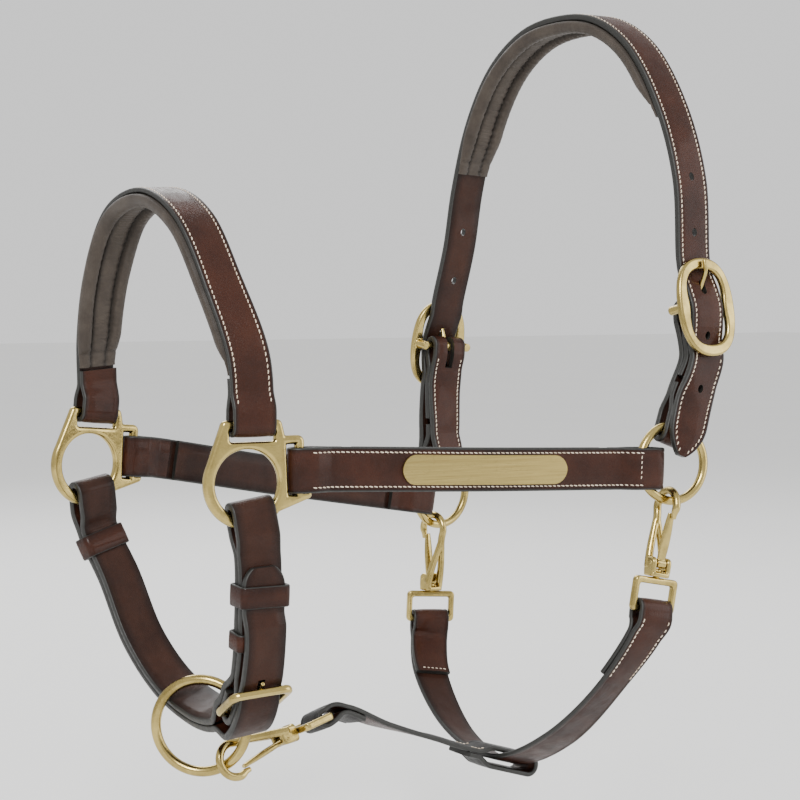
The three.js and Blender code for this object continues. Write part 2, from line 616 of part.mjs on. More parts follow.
// ---- Throat strap ---------------------------------------------------------------------------------
const THROAT_BOTTOM = V(-59.3, -4, -463);
const THROAT_ACROSS = V(-0.955, 0, 0.3);
{
  const low = (side, more = 0) => side.eyeAt.clone().addScaledVector(side.hang, SNAP.eyeDrop + more);
  const points = [
    low(NEAR),
    low(NEAR, 10),
    V(-50, -100, -399.7),
    V(-57, -56, -441),
    THROAT_BOTTOM,
    V(-55, 50, -455),
    V(-47, 95, -424),
    low(FAR, 10),
    low(FAR),
  ];
  const a = NEAR.eyeAcross;
  const b = FAR.eyeAcross;
  const rising = [V(-0.95, 0.1, 0.3), V(-0.92, 0.3, 0.2)];
  const refs = [a, a, V(-0.96, -0.1, 0.1), V(-0.955, 0, 0.25), THROAT_ACROSS, ...rising, b, b];
  const line = stations(points, refs, 70);
  const hold = { radius: SNAP.eyeBar + FIT + PLY / 2, run: 5, tail: 48 };
  add("throat_strap", turnedStrap({ line, side: 1, start: hold, end: hold }), LEATHER);
}

// ---- Link strap and chin snap -----------------------------------------------------------------
{
  const z = CHIN_SNAP_UP;
  const x = CHIN_SNAP_OPEN.clone().addScaledVector(z, -CHIN_SNAP_OPEN.dot(z)).normalize();
  const y = new THREE.Vector3().crossVectors(z, x);
  const frame = axes(x, y, z, CHIN_SNAP_EYE);
  snap("chin_snap", frame);
  const eyeAcross = y.clone();
  if (eyeAcross.y > 0) eyeAcross.negate();
  const start = V(0, 0, -SNAP.eyeDrop).applyMatrix4(frame);
  const throatDown = THROAT_ACROSS.clone().cross(V(0, 1, 0)).normalize();
  const inLoop = THROAT_BOTTOM.clone().addScaledVector(throatDown, (PLY + NAP) / 2);
  const end = inLoop.clone().addScaledVector(THROAT_ACROSS, -STRAP / 2 - 1.2);
  const lead = V(0, 0, -SNAP.eyeDrop - 14).applyMatrix4(frame);
  const before = inLoop.clone().addScaledVector(THROAT_ACROSS, 27);
  const points = [start, lead, V(-157, -8, -431.5), V(-118, -6, -445), before, end];
  const flatRef = V(0, -1, 0);
  const line = stations(points, [eyeAcross, eyeAcross, V(0, -1, 0.15), flatRef, flatRef, flatRef], 44);
  const startHold = { radius: SNAP.eyeBar + FIT + PLY / 2, run: 5, tail: 30 };
  const endHold = { radius: PLY + FIT + 2.4, run: STRAP + 5, tail: 50 };
  const strap = turnedStrap({ line, side: 1, start: startHold, end: endHold, width: LINK_WIDTH });
  add("link_strap", strap, LEATHER);
}

// ---- Chin ring and chin strap ---------------------------------------------------------------------
{
  const up = UP.clone();
  const frame = axes(up.clone().cross(CHIN_RING_AXIS), up, CHIN_RING_AXIS, CHIN_RING_AT);
  const ring = new THREE.TorusGeometry(CHIN_RING.radius, CHIN_RING.wire, 8, 36);
  add("chin_ring", ring.applyMatrix4(frame), BRASS);
}
// The chin strap runs twice round under the jaw. It starts at the heel bar of its buckle, goes up
// to the near fitting, back down inside, across to the far fitting, and returns outside that layer
// through the buckle to the rounded tip of its billet.
const inRing = Math.sqrt(FITTING.hole ** 2 - (STRAP / 2 + 0.4) ** 2);
const chinTurn = FITTING.depth / 2 + FIT + HEAVY_PLY / 2 + 0.2;
{
  const heldAt = inRing - 0.9 + (chinTurn - HEAVY_PLY / 2);
  const nearHold = NEAR.onFitting(heldAt * 0.16, -heldAt * 0.987);
  const farHold = FAR.onFitting(heldAt * 0.26, -heldAt * 0.966);
  const points = [
    nearHold,
    NEAR.onFitting(6.2, -40).add(V(0, -0.6, 0)),
    V(-286.5, -82.5, -345),
    V(-285, -75.5, -376),
    CHIN_HEEL.clone(),
    V(-280, -38, -406),
    V(-277, -2, -406.8),
    V(-280.5, 29, -396),
    V(-287, 54, -372),
    V(-293.5, 72, -337),
    FAR.onFitting(10, -38).add(V(0, 0.5, 0)),
    farHold,
  ];
  const nearAcross = NEAR.along.clone().negate();
  const farAcross = FAR.along.clone().negate();
  const tilted = V(-1, 0, -0.36);
  const slight = V(-1, 0, -0.15);
  const flatRef = V(-1, 0, 0);
  const below = [V(-1, 0, -0.3), tilted, V(-1, 0, -0.3), slight, flatRef];
  const refs = [nearAcross, nearAcross, flatRef, flatRef, flatRef, ...below, farAcross, farAcross];
  const line = stations(points, refs, 84);
  const heel = line.reduce((a, b) => (b.at.distanceTo(CHIN_HEEL) < a.at.distanceTo(CHIN_HEEL) ? b : a)).s;
  const base = (HEAVY_PLY + NAP) / 2;
  const onHeel = CHIN_BUCKLE.wire + FIT + HEAVY_PLY / 2 + 0.8;
  const step = HEAVY_PLY + NAP;
  const heap = (s) => 1 - ease((Math.abs(s - heel) - 9) / 16);
  const atEnds = (s) => 1 - ease((Math.min(s, line.total - s) - 12) / BLEND);
  const inner = (s) => base + (chinTurn - base) * atEnds(s) + (onHeel + step - base) * heap(s);
  const middle = (s) => base + (chinTurn - base) * atEnds(s) + (onHeel - base) * heap(s);
  const under = (s) => base + (chinTurn - base) * atEnds(s);
  const room = (s) => step + 2.7 * ease((s - heel + 62) / 9) * (1 - ease((s - heel + 26) / 12));
  const outer = (s) => (s < heel ? middle(s) + room(s) : under(s) + (onHeel + step - base) * heap(s));
  const lineFrom = (from, to) => line.filter((st) => st.s >= from && st.s <= to);

  const route = [];
  const first = line.find((st) => st.s >= heel);
  const tail = lineFrom(first.s - 12, first.s - 0.5);
  route.push(...tail.map((st) => shifted(st, -middle(st.s))));
  route.push(shifted(first, -onHeel));
  route.push(...turn(first, onHeel, -1, 1));
  route.push(...lineFrom(0, first.s).reverse().map((st) => shifted(st, middle(st.s))));
  route.push(...turn(line[0], chinTurn, 1, -1));
  route.push(...line.map((st) => shifted(st, -inner(st.s))));
  route.push(...turn(line[line.length - 1], chinTurn, -1, 1));
  const tip = 29;
  route.push(...lineFrom(tip, line.total).reverse().map((st) => shifted(st, outer(st.s))));
  const width = (t, st) => {
    const back = st.s - tip;
    const isTip = t > 0.9 && back < 14;
    const narrowed = STRAP * Math.sin((Math.PI / 2) * Math.min(1, (back + 2) / 14) ** 0.6);
    return isTip ? Math.max(6, narrowed) : STRAP;
  };
  const strap = ribbon(faced(route), width, HEAVY_PLY);

  const keeper = (name, s, band, below, above) => {
    const st = line.reduce((a, b) => (Math.abs(b.s - s) < Math.abs(a.s - s) ? b : a));
    const half = STRAP / 2 + FIT;
    const low = -below(st.s) - HEAVY_PLY / 2 - FIT - 0.2;
    const high = above(st.s) + HEAVY_PLY / 2 + FIT + 0.2;
    const loop = roundedLoop(new THREE.Shape(), -half - 2, half + 2, low - 2, high + 2, 2.2);
    loop.holes.push(roundedLoop(new THREE.Path(), -half, half, low, high, 0.6));
    const place = axes(st.across, st.along.clone(), st.out, st.at);
    add(name, flat(loop, band, 0.5, 1, 1).applyMatrix4(place), LEATHER);
  };
  keeper("far_chin_keeper", line.total - 32, 13, inner, outer);
  keeper("billet_keeper", 46, 12, inner, outer);
  keeper("inner_keeper", heel - 44, 10, inner, middle);
  // The front bar lies on the outside of the billet, a frame's length from the heel bar.
  const level = (st) => shifted(st, outer(st.s) + HEAVY_PLY / 2 + FIT + CHIN_BUCKLE.wire + 0.8).at;
  const missBy = (st) => Math.abs(level(st).distanceTo(first.at) - CHIN_BUCKLE.reach);
  const above = lineFrom(heel - 34, heel - 4);
  const front = level(above.reduce((a, b) => (missBy(b) < missBy(a) ? b : a)));

  const toFront = front.clone().sub(first.at);
  const barX = first.across.clone().negate();
  toFront.addScaledVector(barX, -toFront.dot(barX)).normalize();
  const frame = axes(barX, new THREE.Vector3().crossVectors(toFront, barX), toFront, first.at);
  const w = CHIN_BUCKLE.width / 2;
  const r = CHIN_BUCKLE.wire;
  const shape = roundedLoop(new THREE.Shape(), -w, w, -r, CHIN_BUCKLE.reach + r, 6);
  shape.holes.push(roundedLoop(new THREE.Path(), -w + 2 * r, w - 2 * r, r, CHIN_BUCKLE.reach - r, 3));
  add("chin_buckle", flat(shape, 2 * r, 1.3, 3, 1).applyMatrix4(frame), BRASS);

  const path = [V(0, 2.2, 2), V(0, 3.2, 8), V(0, 3.6, 16), V(0, 4.1, 24.5), V(0, 4, 29.5)];
  const knuckle = cylinder(4.1, 4.4, V(1, 0, 0), V(0, 0, 0), 14);
  const bore = cylinder(r + 0.5, 8, V(1, 0, 0), V(0, 0, 0), 14);
  const shank = rod(path, (t) => 1.5 - 0.4 * t, 7, 8, V(1, 0, 0));
  add("chin_tongue", cut(join(knuckle, shank), bore).applyMatrix4(frame), BRASS);
  const lifts = [0, 4.5, 9].map((a) => THREE.MathUtils.degToRad(-a));
  const swept = lifts.map((a) => rod(path, 3.5, 6, 4, V(1, 0, 0)).rotateX(a));
  const slot = box(5.6, 13.2, 13.2, 0, 0, 0);
  const tools = [...swept, slot].map((g) => g.applyMatrix4(frame));
  add("chin_strap", cut(strap, ...tools), LEATHER);
}

export default headcollar;
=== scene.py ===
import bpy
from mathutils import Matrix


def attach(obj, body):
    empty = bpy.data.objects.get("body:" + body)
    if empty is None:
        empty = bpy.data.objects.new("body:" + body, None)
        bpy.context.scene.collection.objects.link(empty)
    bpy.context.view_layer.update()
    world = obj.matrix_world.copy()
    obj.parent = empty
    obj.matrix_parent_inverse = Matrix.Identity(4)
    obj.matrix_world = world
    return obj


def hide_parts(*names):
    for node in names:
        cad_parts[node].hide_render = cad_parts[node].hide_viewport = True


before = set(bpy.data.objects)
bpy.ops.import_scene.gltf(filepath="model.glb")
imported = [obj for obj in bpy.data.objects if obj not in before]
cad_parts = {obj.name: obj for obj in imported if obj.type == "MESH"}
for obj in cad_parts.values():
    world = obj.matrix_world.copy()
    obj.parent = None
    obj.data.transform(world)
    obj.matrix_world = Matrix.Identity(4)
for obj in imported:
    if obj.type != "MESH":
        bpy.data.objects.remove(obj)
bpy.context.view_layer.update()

import math

import bmesh
import bpy
import numpy as np
from mathutils import Matrix, Vector

# ---- Sizes, in millimetres
MM = 0.001
STRAP, LINK_WIDTH = 25.0, 22.0
PLY, HEAVY_PLY, CROWN_PLY = 3.0, 4.0, 4.2
NAP, FIT = 0.4, 0.4  # gaps between two layers of leather, and round what a strap holds
BLEND = 12.0  # length over which the layers of a turned strap come together
PAD, PAD_WIDTH = 7.5, 29.0
RING, WIRE = 22.7, 2.7
LEAD_RING, LEAD_WIRE = 27.0, 3.0
HOLE, RIM, CAST_DEPTH, CAST_BAR = 18.5, 25.0, 5.4, 3.1
EYE_DROP, EYE_BAR, RING_AT = 17.0, 2.7, 48.8
BUCKLE = {
    "width": 43.5, "height": 60.5, "window": 28.4, "opening": 46.4, "thick": 4.4, "bar": 2.3, "proud": 9.6,
}
ROW = 9.6  # distance of a stitch row from the middle of a strap
HOLE_PITCH = 33  # between the punched holes of the crown

def V(x, y, z):
    return np.array([x, y, z], float)

def unit(v):
    v = np.asarray(v, float)
    return v / np.linalg.norm(v, axis=-1, keepdims=True)

def facing(v, i, sign=1):
    """v or its opposite, whichever has this sign in its part i."""
    return v if v[i] * sign > 0 else -v

X, Y, UP = V(1, 0, 0), V(0, 1, 0), V(0, 0, 1)

def ease(t):
    """0 to 1 as t goes from 0 to 1, flat at both ends."""
    t = np.clip(t, 0.0, 1.0)
    return t * t * (3 - 2 * t)

def axes(x, y, z, origin):
    """The frame with these axes and origin, as a 4 by 4 matrix."""
    m = np.eye(4)
    m[:3, 0], m[:3, 1], m[:3, 2], m[:3, 3] = x, y, z, origin
    return m

def put(m, p):
    """Points p, given in frame m, in the part's frame."""
    return np.asarray(p, float) @ m[:3, :3].T + m[:3, 3]

def moved(m, solid):
    """A solid (verts, faces), given in frame m, in the part's frame."""
    return put(m, solid[0]), solid[1]

# ---- Lines and routes
def spline(points):
    """A smooth curve through points, as a function of t from 0 to 1."""
    p = np.array(points, float)
    n = len(p)
    q = np.vstack([2 * p[:1] - p[1:2], p, 2 * p[-1:] - p[-2:-1]])

    def at(t):
        x = min(max(float(t), 0.0), 1.0) * (n - 1)
        i = min(int(x), n - 2)
        w = x - i
        a, b, c, d = q[i : i + 4]
        k = [float(np.dot(v - u, v - u)) ** 0.25 for u, v in ((a, b), (b, c), (c, d))]
        k[1] = 1.0 if k[1] < 1e-4 else k[1]
        k[0] = k[1] if k[0] < 1e-4 else k[0]
        k[2] = k[1] if k[2] < 1e-4 else k[2]
        m = ((b - a) / k[0] - (c - a) / (k[0] + k[1]) + (c - b) / k[1]) * k[1]
        e = ((c - b) / k[1] - (d - b) / (k[1] + k[2]) + (d - c) / k[2]) * k[1]
        return b + m * w + (-3 * b + 3 * c - 2 * m - e) * w**2 + (2 * b - 2 * c + m + e) * w**3

    return at

def directions(at, ref):
    """Unit vectors along a line, across it (as near ref as can be) and out of its face."""
    along = np.empty_like(at)
    along[1:-1] = at[2:] - at[:-2]
    along[0] = at[1] - at[0]
    along[-1] = at[-1] - at[-2]
    along = unit(along)
    across = unit(ref - np.sum(ref * along, axis=1)[:, None] * along)
    return along, across, np.cross(across, along)

class Line:
    """Places along a strap with the directions along it, across it and out of its face."""

    def __init__(self, at, ref, s):
        self.at, self.s, self.total = at, s, s[-1]
        self.along, self.across, self.out = directions(at, ref)

    def off(self, distance, sign=1):
        return self.at + sign * np.asarray(distance)[:, None] * self.out

    def sample(self, s):
        s = np.atleast_1d(np.asarray(s, float))

        def pick(field):
            return np.stack([np.interp(s, self.s, field[:, i]) for i in range(3)], 1)

        got = object.__new__(Line)
        got.at, got.s, got.total = pick(self.at), s, self.total
        got.along, got.across = unit(pick(self.along)), unit(pick(self.across))
        got.out = unit(np.cross(got.across, got.along))
        return got

    def nearest(self, point):
        return int(np.argmin(np.linalg.norm(self.at - point, axis=1)))

    def index(self, s):
        return int(np.argmin(np.abs(self.s - s)))

def stations(points, refs, steps):
    """A line through points at even steps of its length, its width turned to follow refs."""
    at = spline(points)
    ts = np.linspace(0, 1, 601)
    arc = np.array([at(t) for t in ts])
    length = np.concatenate([[0], np.cumsum(np.linalg.norm(np.diff(arc, axis=0), axis=1))])
    s = np.linspace(0, length[-1], steps + 1)
    tt = np.interp(s, length, ts)
    if len(refs) == 1:
        ref = np.repeat(np.array(refs, float), steps + 1, axis=0)
    else:
        r = spline(refs)
        us = tt if len(refs) == len(points) else s / length[-1]
        ref = np.array([r(t) for t in us])
    return Line(np.array([at(t) for t in tt]), ref, s)

def bend(line, i, radius, from_side, away, count=16):
    """The half turn of a strap round the place i of a line."""
    a = (np.pi * np.arange(1, count) / count)[:, None]
    at = line.at[i] + from_side * radius * np.cos(a) * line.out[i] + away * radius * np.sin(a) * line.along[i]
    return at, np.repeat(line.across[i][None], len(at), axis=0)

def rise(line, start, end, thick):
    """How far the middle of a turned strap's layer lies from its line, at distance s."""
    base = (thick + NAP) / 2

    def at(s):
        s = np.asarray(s, float)
        high = np.full(s.shape, base)
        for hold, d in ((start, s), (end, line.total - s)):
            if hold:
                high = high + (hold[0] - base) * (1 - ease((d - hold[1]) / BLEND))
        return high

    return at

def turned(line, side, start=None, end=None, thick=PLY):
    """The route of a strap folded back round what it holds: each hold is (radius, run, tail)."""
    offset = rise(line, start, end, thick)(line.s)
    at, ref = [], []
    if start:
        k = (line.s > 0) & (line.s <= start[2])
        at += [line.off(offset, -side)[k][::-1], (line.at[0] - side * start[0] * line.out[0])[None]]
        ref += [line.across[k][::-1], line.across[:1]]
        fold = bend(line, 0, start[0], -side, -1)
        at.append(fold[0])
        ref.append(fold[1])
    at.append(line.off(offset, side))
    ref.append(line.across)
    if end:
        fold = bend(line, -1, end[0], side, 1)
        k = (line.s < line.total) & (line.total - line.s <= end[2])
        at += [fold[0], (line.at[-1] - side * end[0] * line.out[-1])[None], line.off(offset, -side)[k][::-1]]
        ref += [fold[1], line.across[-1:], line.across[k][::-1]]
    return np.vstack(at), np.vstack(ref)

# ---- Materials
class Look:
    """A procedural material built from nodes in the object's own coordinates."""

    def __init__(self, name, metallic=0.0):
        self.material = bpy.data.materials.new(name)
        self.material.use_nodes = True
        self.tree = self.material.node_tree
        self.shader = self.tree.nodes["Principled BSDF"]
        self.shader.inputs["Metallic"].default_value = metallic
        self.place = self.node("ShaderNodeTexCoord", {}, "Object")

    def feed(self, socket, value):
        if isinstance(value, bpy.types.NodeSocket):
            self.tree.links.new(value, socket)
        elif isinstance(value, (tuple, list)) and len(value) == 3 and socket.type == "RGBA":
            socket.default_value = (*value, 1.0)
        else:
            socket.default_value = value

    def node(self, kind, inputs, output=0, **fields):
        """Adds a node with these fields and inputs; returns the socket of one output."""
        node = self.tree.nodes.new(kind)
        for key, value in fields.items():
            setattr(node, key, value)
        for key, value in inputs.items():
            self.feed(node.inputs[key], value)
        return node.outputs[output]

    def stretched(self, scale, turn=(0, 0, 0)):
        return self.node("ShaderNodeMapping", {"Vector": self.place, "Scale": scale, "Rotation": turn})

    def noise(self, scale, detail=3.0, rough=0.5, place=None):
        inputs = {"Vector": place or self.place, "Scale": scale, "Detail": detail, "Roughness": rough}
        return self.node("ShaderNodeTexNoise", inputs)

    def cells(self, scale):
        inputs = {"Vector": self.place, "Scale": scale}
        return self.node("ShaderNodeTexVoronoi", inputs, "Distance", feature="DISTANCE_TO_EDGE")

    def span(self, value, low, high, to_low=0.0, to_high=1.0):
        inputs = {"Value": value, "From Min": low, "From Max": high, "To Min": to_low, "To Max": to_high}
        return self.node("ShaderNodeMapRange", inputs)

    def maths(self, operation, a, b):
        return self.node("ShaderNodeMath", {0: a, 1: b}, operation=operation)

    def mix(self, share, a, b):
        return self.node("ShaderNodeMix", {0: share, 6: a, 7: b}, 2, data_type="RGBA")

    # Reads the point attribute that holds dark edge paint on the straps and painted shade on the pads.
    def rim(self):
        return self.node("ShaderNodeAttribute", {}, "Fac", attribute_name="rim")

    def bump(self, height, distance, strength=1.0, before=None):
        inputs = {"Height": height, "Distance": distance, "Strength": strength}
        if before:
            inputs["Normal"] = before
        return self.node("ShaderNodeBump", inputs)

    def done(self, colour, roughness, normal, **constants):
        self.feed(self.shader.inputs["Base Color"], colour)
        self.feed(self.shader.inputs["Roughness"], roughness)
        self.feed(self.shader.inputs["Normal"], normal)
        for key, value in constants.items():
            self.shader.inputs[key.replace("_", " ")].default_value = value
        return self.material

def leather(name, base, deep, shine=0.36):
    k = Look(name)
    tone = k.span(k.noise(42, 5, 0.6), 0.34, 0.68)
    broad = k.span(k.noise(9, 2), 0.35, 0.65, 0.0, 0.55)
    colour = k.mix(tone, deep, base)
    colour = k.mix(broad, colour, tuple(c * 1.25 for c in base))
    pores = k.span(k.cells(1150), 0.0, 0.22)
    colour = k.mix(k.span(pores, 0, 1, 0.28, 0.0), colour, tuple(c * 0.45 for c in deep))
    colour = k.mix(k.span(k.rim(), 0.2, 1.0, 0.0, 0.8), colour, tuple(c * 0.35 for c in deep))
    rough = k.span(k.noise(120, 4), 0.3, 0.7, shine - 0.06, shine + 0.14)
    normal = k.bump(pores, 0.00012, 0.75)
    normal = k.bump(k.noise(320, 4, 0.6), 0.0003, 0.6, normal)
    normal = k.bump(k.noise(38, 3, 0.5), 0.0011, 0.4, normal)
    return k.done(colour, rough, normal, Coat_Weight=0.13, Coat_Roughness=0.11, Specular_IOR_Level=0.13)

def edge_paint():
    k = Look("painted_edge")
    colour = k.mix(k.noise(260, 4, 0.6), (0.0055, 0.0052, 0.0043), (0.017, 0.0165, 0.0135))
    layers = k.noise(1.0, 3, 0.6, k.stretched((160, 160, 2600)))
    return k.done(colour, k.span(k.noise(400, 3), 0.3, 0.7, 0.42, 0.6), k.bump(layers, 0.00018, 0.6))

def lining():
    k = Look("soft_lining")
    colour = k.mix(k.span(k.noise(55, 5, 0.65), 0.3, 0.7), (0.030, 0.0215, 0.0155), (0.066, 0.051, 0.039))
    pores = k.span(k.cells(900), 0.0, 0.3)
    colour = k.mix(k.span(pores, 0, 1, 0.3, 0.0), colour, (0.018, 0.0135, 0.010))
    # Painted shade: the pads' sewn channel and their side against the strap are darkened toward dark brown;
    # on straps the same attribute is real dark edge paint.
    colour = k.mix(k.span(k.rim(), 0.2, 1.0, 0.0, 0.75), colour, (0.009, 0.007, 0.0055))
    normal = k.bump(k.noise(210, 6, 0.65), 0.0006, 0.5, k.bump(pores, 0.0001, 0.6))
    rough = k.span(k.noise(90, 3), 0.3, 0.7, 0.5, 0.66)
    return k.done(colour, rough, normal, Sheen_Weight=0.05, Sheen_Roughness=0.5, Specular_IOR_Level=0.3)

def cream_thread():
    k = Look("cream_thread")
    twist = k.noise(1.0, 2, 0.5, k.stretched((2600, 2600, 2600), (0.6, 0.5, 0.7)))
    colour = k.mix(k.span(k.noise(240, 3), 0.3, 0.7), (0.50, 0.39, 0.28), (0.80, 0.69, 0.55))
    return k.done(colour, k.span(twist, 0, 1, 0.55, 0.8), k.bump(twist, 0.00012, 0.8), Sheen_Weight=0.2)

def brass(name, bright, dull, low, high, brushed=None):
    """Brass with a patina, its roughness from low to high, and the scale of any brush marks."""
    k = Look(name, metallic=1.0)
    patina = k.span(k.noise(48, 6, 0.62), 0.42, 0.72)
    if brushed:
        patina = k.span(k.noise(1.0, 6, 0.68, k.stretched((22, 22, 900))), 0.26, 0.80)
    spots = k.span(k.noise(420, 4, 0.6), 0.6, 0.8)
    colour = k.mix(patina, bright, dull)
    colour = k.mix(k.maths("MULTIPLY", spots, 0.4), colour, tuple(c * 0.5 for c in dull))
    marks = k.noise(1.0, 4, 0.6, k.stretched(brushed or (500, 700, 900), (0.2, 0.3, 0.0)))
    rough = k.maths("ADD", k.span(patina, 0, 1, low, high), k.span(marks, 0.4, 0.7, 0.0, 0.09))
    normal = k.bump(marks, 0.00006 if brushed else 0.00003, 0.7)
    normal = k.bump(k.noise(70, 3), 0.00025, 0.25, normal)
    return k.done(colour, rough, normal)

HAVANA = leather("havana_leather", (0.043, 0.0122, 0.0054), (0.0115, 0.0030, 0.0014))
HAVANA_INSIDE = leather("havana_inside", (0.036, 0.0122, 0.0062), (0.0140, 0.0044, 0.0023), 0.46)
DARK_SIDE = leather("dark_flesh_side", (0.012, 0.0105, 0.0095), (0.006, 0.005, 0.0045), 0.44)
EDGE = edge_paint()
LINING = lining()
THREAD = cream_thread()
BRASS = brass("solid_brass", (0.50, 0.385, 0.135), (0.235, 0.175, 0.058), 0.15, 0.28)
PLATE = brass("brushed_plate_brass", (0.52, 0.405, 0.15), (0.27, 0.20, 0.07), 0.20, 0.44, (40, 40, 1400))

# ---- Meshes
def add(name, data):
    """A new object in the scene, which holds data."""
    obj = bpy.data.objects.new(name, data)
    bpy.context.scene.collection.objects.link(obj)
    return obj

def evaluated(obj):
    """The mesh of obj with its bevels and modifiers applied; obj itself is removed."""
    bpy.context.view_layer.update()
    mesh = bpy.data.meshes.new_from_object(obj.evaluated_get(bpy.context.evaluated_depsgraph_get()))
    bpy.data.objects.remove(obj)
    return mesh

def smoothed(mesh, sharp):
    """mesh with smooth shading, and with edges over sharp degrees kept hard."""
    mesh.polygons.foreach_set("use_smooth", [True] * len(mesh.polygons))
    mesh.set_sharp_from_angle(angle=math.radians(sharp))
    mesh.update()
    return mesh

def merged(parts):
    verts, faces, count = [], [], 0
    for v, f in parts:
        verts.append(np.asarray(v, float))
        faces += [[i + count for i in face] for face in f]
        count += len(v)
    return np.vstack(verts), faces

def mesh_of(name, verts, faces, materials, index=None, rim=None, sharp=50, scale=MM):
    """A mesh of verts times scale, with each face's material and each point's share of darkening: dark edge
    paint on straps, painted shade in the pads' channels.
    """
    mesh = bpy.data.meshes.new(name)
    mesh.from_pydata((np.asarray(verts) * scale).tolist(), [], faces)
    for m in materials:
        mesh.materials.append(m)
    if index is not None:
        mesh.polygons.foreach_set("material_index", np.asarray(index, np.int32))
    if rim is not None:
        mesh.attributes.new("rim", "FLOAT", "POINT").data.foreach_set("value", np.asarray(rim, np.float32))
    bm = bmesh.new()
    bm.from_mesh(mesh)
    bmesh.ops.recalc_face_normals(bm, faces=bm.faces)
    bmesh.ops.triangulate(bm, faces=[f for f in bm.faces if len(f.verts) > 4])
    bm.to_mesh(mesh)
    bm.free()
    return smoothed(mesh, sharp)

def piece(name, mesh, nodes=(), body="headcollar"):
    """One object that rides a body, and takes the place of the CAD nodes it shows."""
    obj = add(name, mesh)
    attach(obj, body)
    if nodes:
        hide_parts(*nodes)
    return obj

def lofted(rows, closed=False):
    """Faces of rows of the same number of points, capped at both ends unless it closes on itself."""
    n, k = len(rows), len(rows[0])
    verts = np.vstack(rows)
    faces = []
    for i in range(n if closed else n - 1):
        j = (i + 1) % n
        faces += [[i * k + a, i * k + (a + 1) % k, j * k + (a + 1) % k, j * k + a] for a in range(k)]
    if not closed:
        faces += [list(range(k))[::-1], [(n - 1) * k + a for a in range(k)]]
    return verts, faces

def ribbon(name, at, ref, width, thick, materials, grain=1, groove=0.22):
    """A strap with a creased, slightly crowned face, rounded painted edges and a plain back."""
    _, across, out = directions(at, ref)
    width = np.broadcast_to(np.asarray(width, float), (len(at),))
    rows = []
    h, swell = thick / 2, 0.12
    for i in range(len(at)):
        w = width[i] / 2
        f = min(1.0, w / 9.0)
        r = min(0.95, 0.42 * thick) * f
        right = [(w - r, -h), (w - 0.3 * r, -h + 0.3 * r), (w, -h + r)]
        right += [(w, h - r), (w - 0.3 * r, h - 0.3 * r), (w - r, h)]
        top = [(w - 2.0 * f, h), (w - 2.9 * f, h - groove), (w - 3.8 * f, h), (0.3 * w, h + swell)]
        half = right + top
        section = half + [(-a, o) for a, o in half[::-1]] + [(-0.4 * w, -h), (0.4 * w, -h)]
        rows.append([at[i] + a * across[i] + o * grain * out[i] for a, o in section])
    verts, faces = lofted([np.array(r) for r in rows])
    face, edge, back = [0], [1], [2]
    kinds = edge * 5 + face * 9 + edge * 5 + back * 3
    fade = [0.55, 0.3, 0.1, 0.0]
    shade = [1.0] * 6 + fade + fade[::-1] + [1.0] * 6 + [0.0, 0.0]
    return mesh_of(name, verts, faces, materials, kinds * (len(at) - 1) + edge * 2, shade * len(at))

def cut(mesh, tools):
    """mesh with each closed tool (verts, faces), in millimetres, taken out of it."""
    for tool in tools:
        target = add("cut_target", mesh)
        cutter = add("cut_tool", mesh_of("tool", *tool, list(mesh.materials)))
        cutter.data.polygons.foreach_set("material_index", [1] * len(cutter.data.polygons))
        modifier = target.modifiers.new("cut", "BOOLEAN")
        modifier.operation, modifier.solver, modifier.object = "DIFFERENCE", "EXACT", cutter
        mesh = evaluated(target)
        bpy.data.objects.remove(cutter)
    return smoothed(mesh, 50)

def tube(points, radius, steps, sides=16, ref=Y, flatten=1.0):
    """A round bar through points; radius is a number or a function of t from 0 to 1."""
    line = stations(points, [ref], steps)
    rows = []
    for i in range(steps + 1):
        r = radius(i / steps) if callable(radius) else radius
        a = 2 * np.pi * np.arange(sides)[:, None] / sides
        rows.append(line.at[i] + r * flatten * np.cos(a) * line.across[i] + r * np.sin(a) * line.out[i])
    return lofted(rows)

def rod(radius, length, axis, centre, sides=28, dome=0.0):
    """A straight rod, with domed ends that add dome to each end."""
    z = unit(axis)
    x = unit(np.cross(z, V(0.3, 0.5, 0.81)))
    y = np.cross(z, x)
    a = 2 * np.pi * np.arange(sides)[:, None] / sides
    ring = np.cos(a) * x + np.sin(a) * y
    levels = [(-0.5 * length, 1.0), (0.5 * length, 1.0)]
    if dome:
        levels = [(-0.5 * length - dome, 0.45), (-0.5 * length - 0.6 * dome, 0.8)] + levels
        levels += [(0.5 * length + 0.6 * dome, 0.8), (0.5 * length + dome, 0.45)]
    return lofted([centre + d * z + radius * r * ring for d, r in levels])

def block(w, d, h, z=0.0):
    signs = [(-1, -1), (1, -1), (1, 1), (-1, 1)]
    rows = [np.array([(a * w / 2, b * d / 2, z + c * h / 2) for a, b in signs]) for c in (-1, 1)]
    return lofted(rows)

def bezier(p0, p1, p2, p3, count=18):
    t = np.linspace(0, 1, count, endpoint=False)[:, None]
    p0, p1, p2, p3 = (np.array(p, float) for p in (p0, p1, p2, p3))
    return (1 - t) ** 3 * p0 + 3 * t * (1 - t) ** 2 * p1 + 3 * t**2 * (1 - t) * p2 + t**3 * p3

def arc(cx, cy, r, start, end, count=12):
    """Points of a circle's arc, from start to end in degrees."""
    a = np.radians(np.linspace(start, end, count))
    return np.stack([cx + r * np.cos(a), cy + r * np.sin(a)], 1)

def rounded(x0, x1, z0, z1, r, count=7):
    """A rectangle's outline with corners of radius r."""
    return np.vstack([
        arc(x1 - r, z0 + r, r, -90, 0, count), arc(x1 - r, z1 - r, r, 0, 90, count),
        arc(x0 + r, z1 - r, r, 90, 180, count), arc(x0 + r, z0 + r, r, 180, 270, count),
    ])

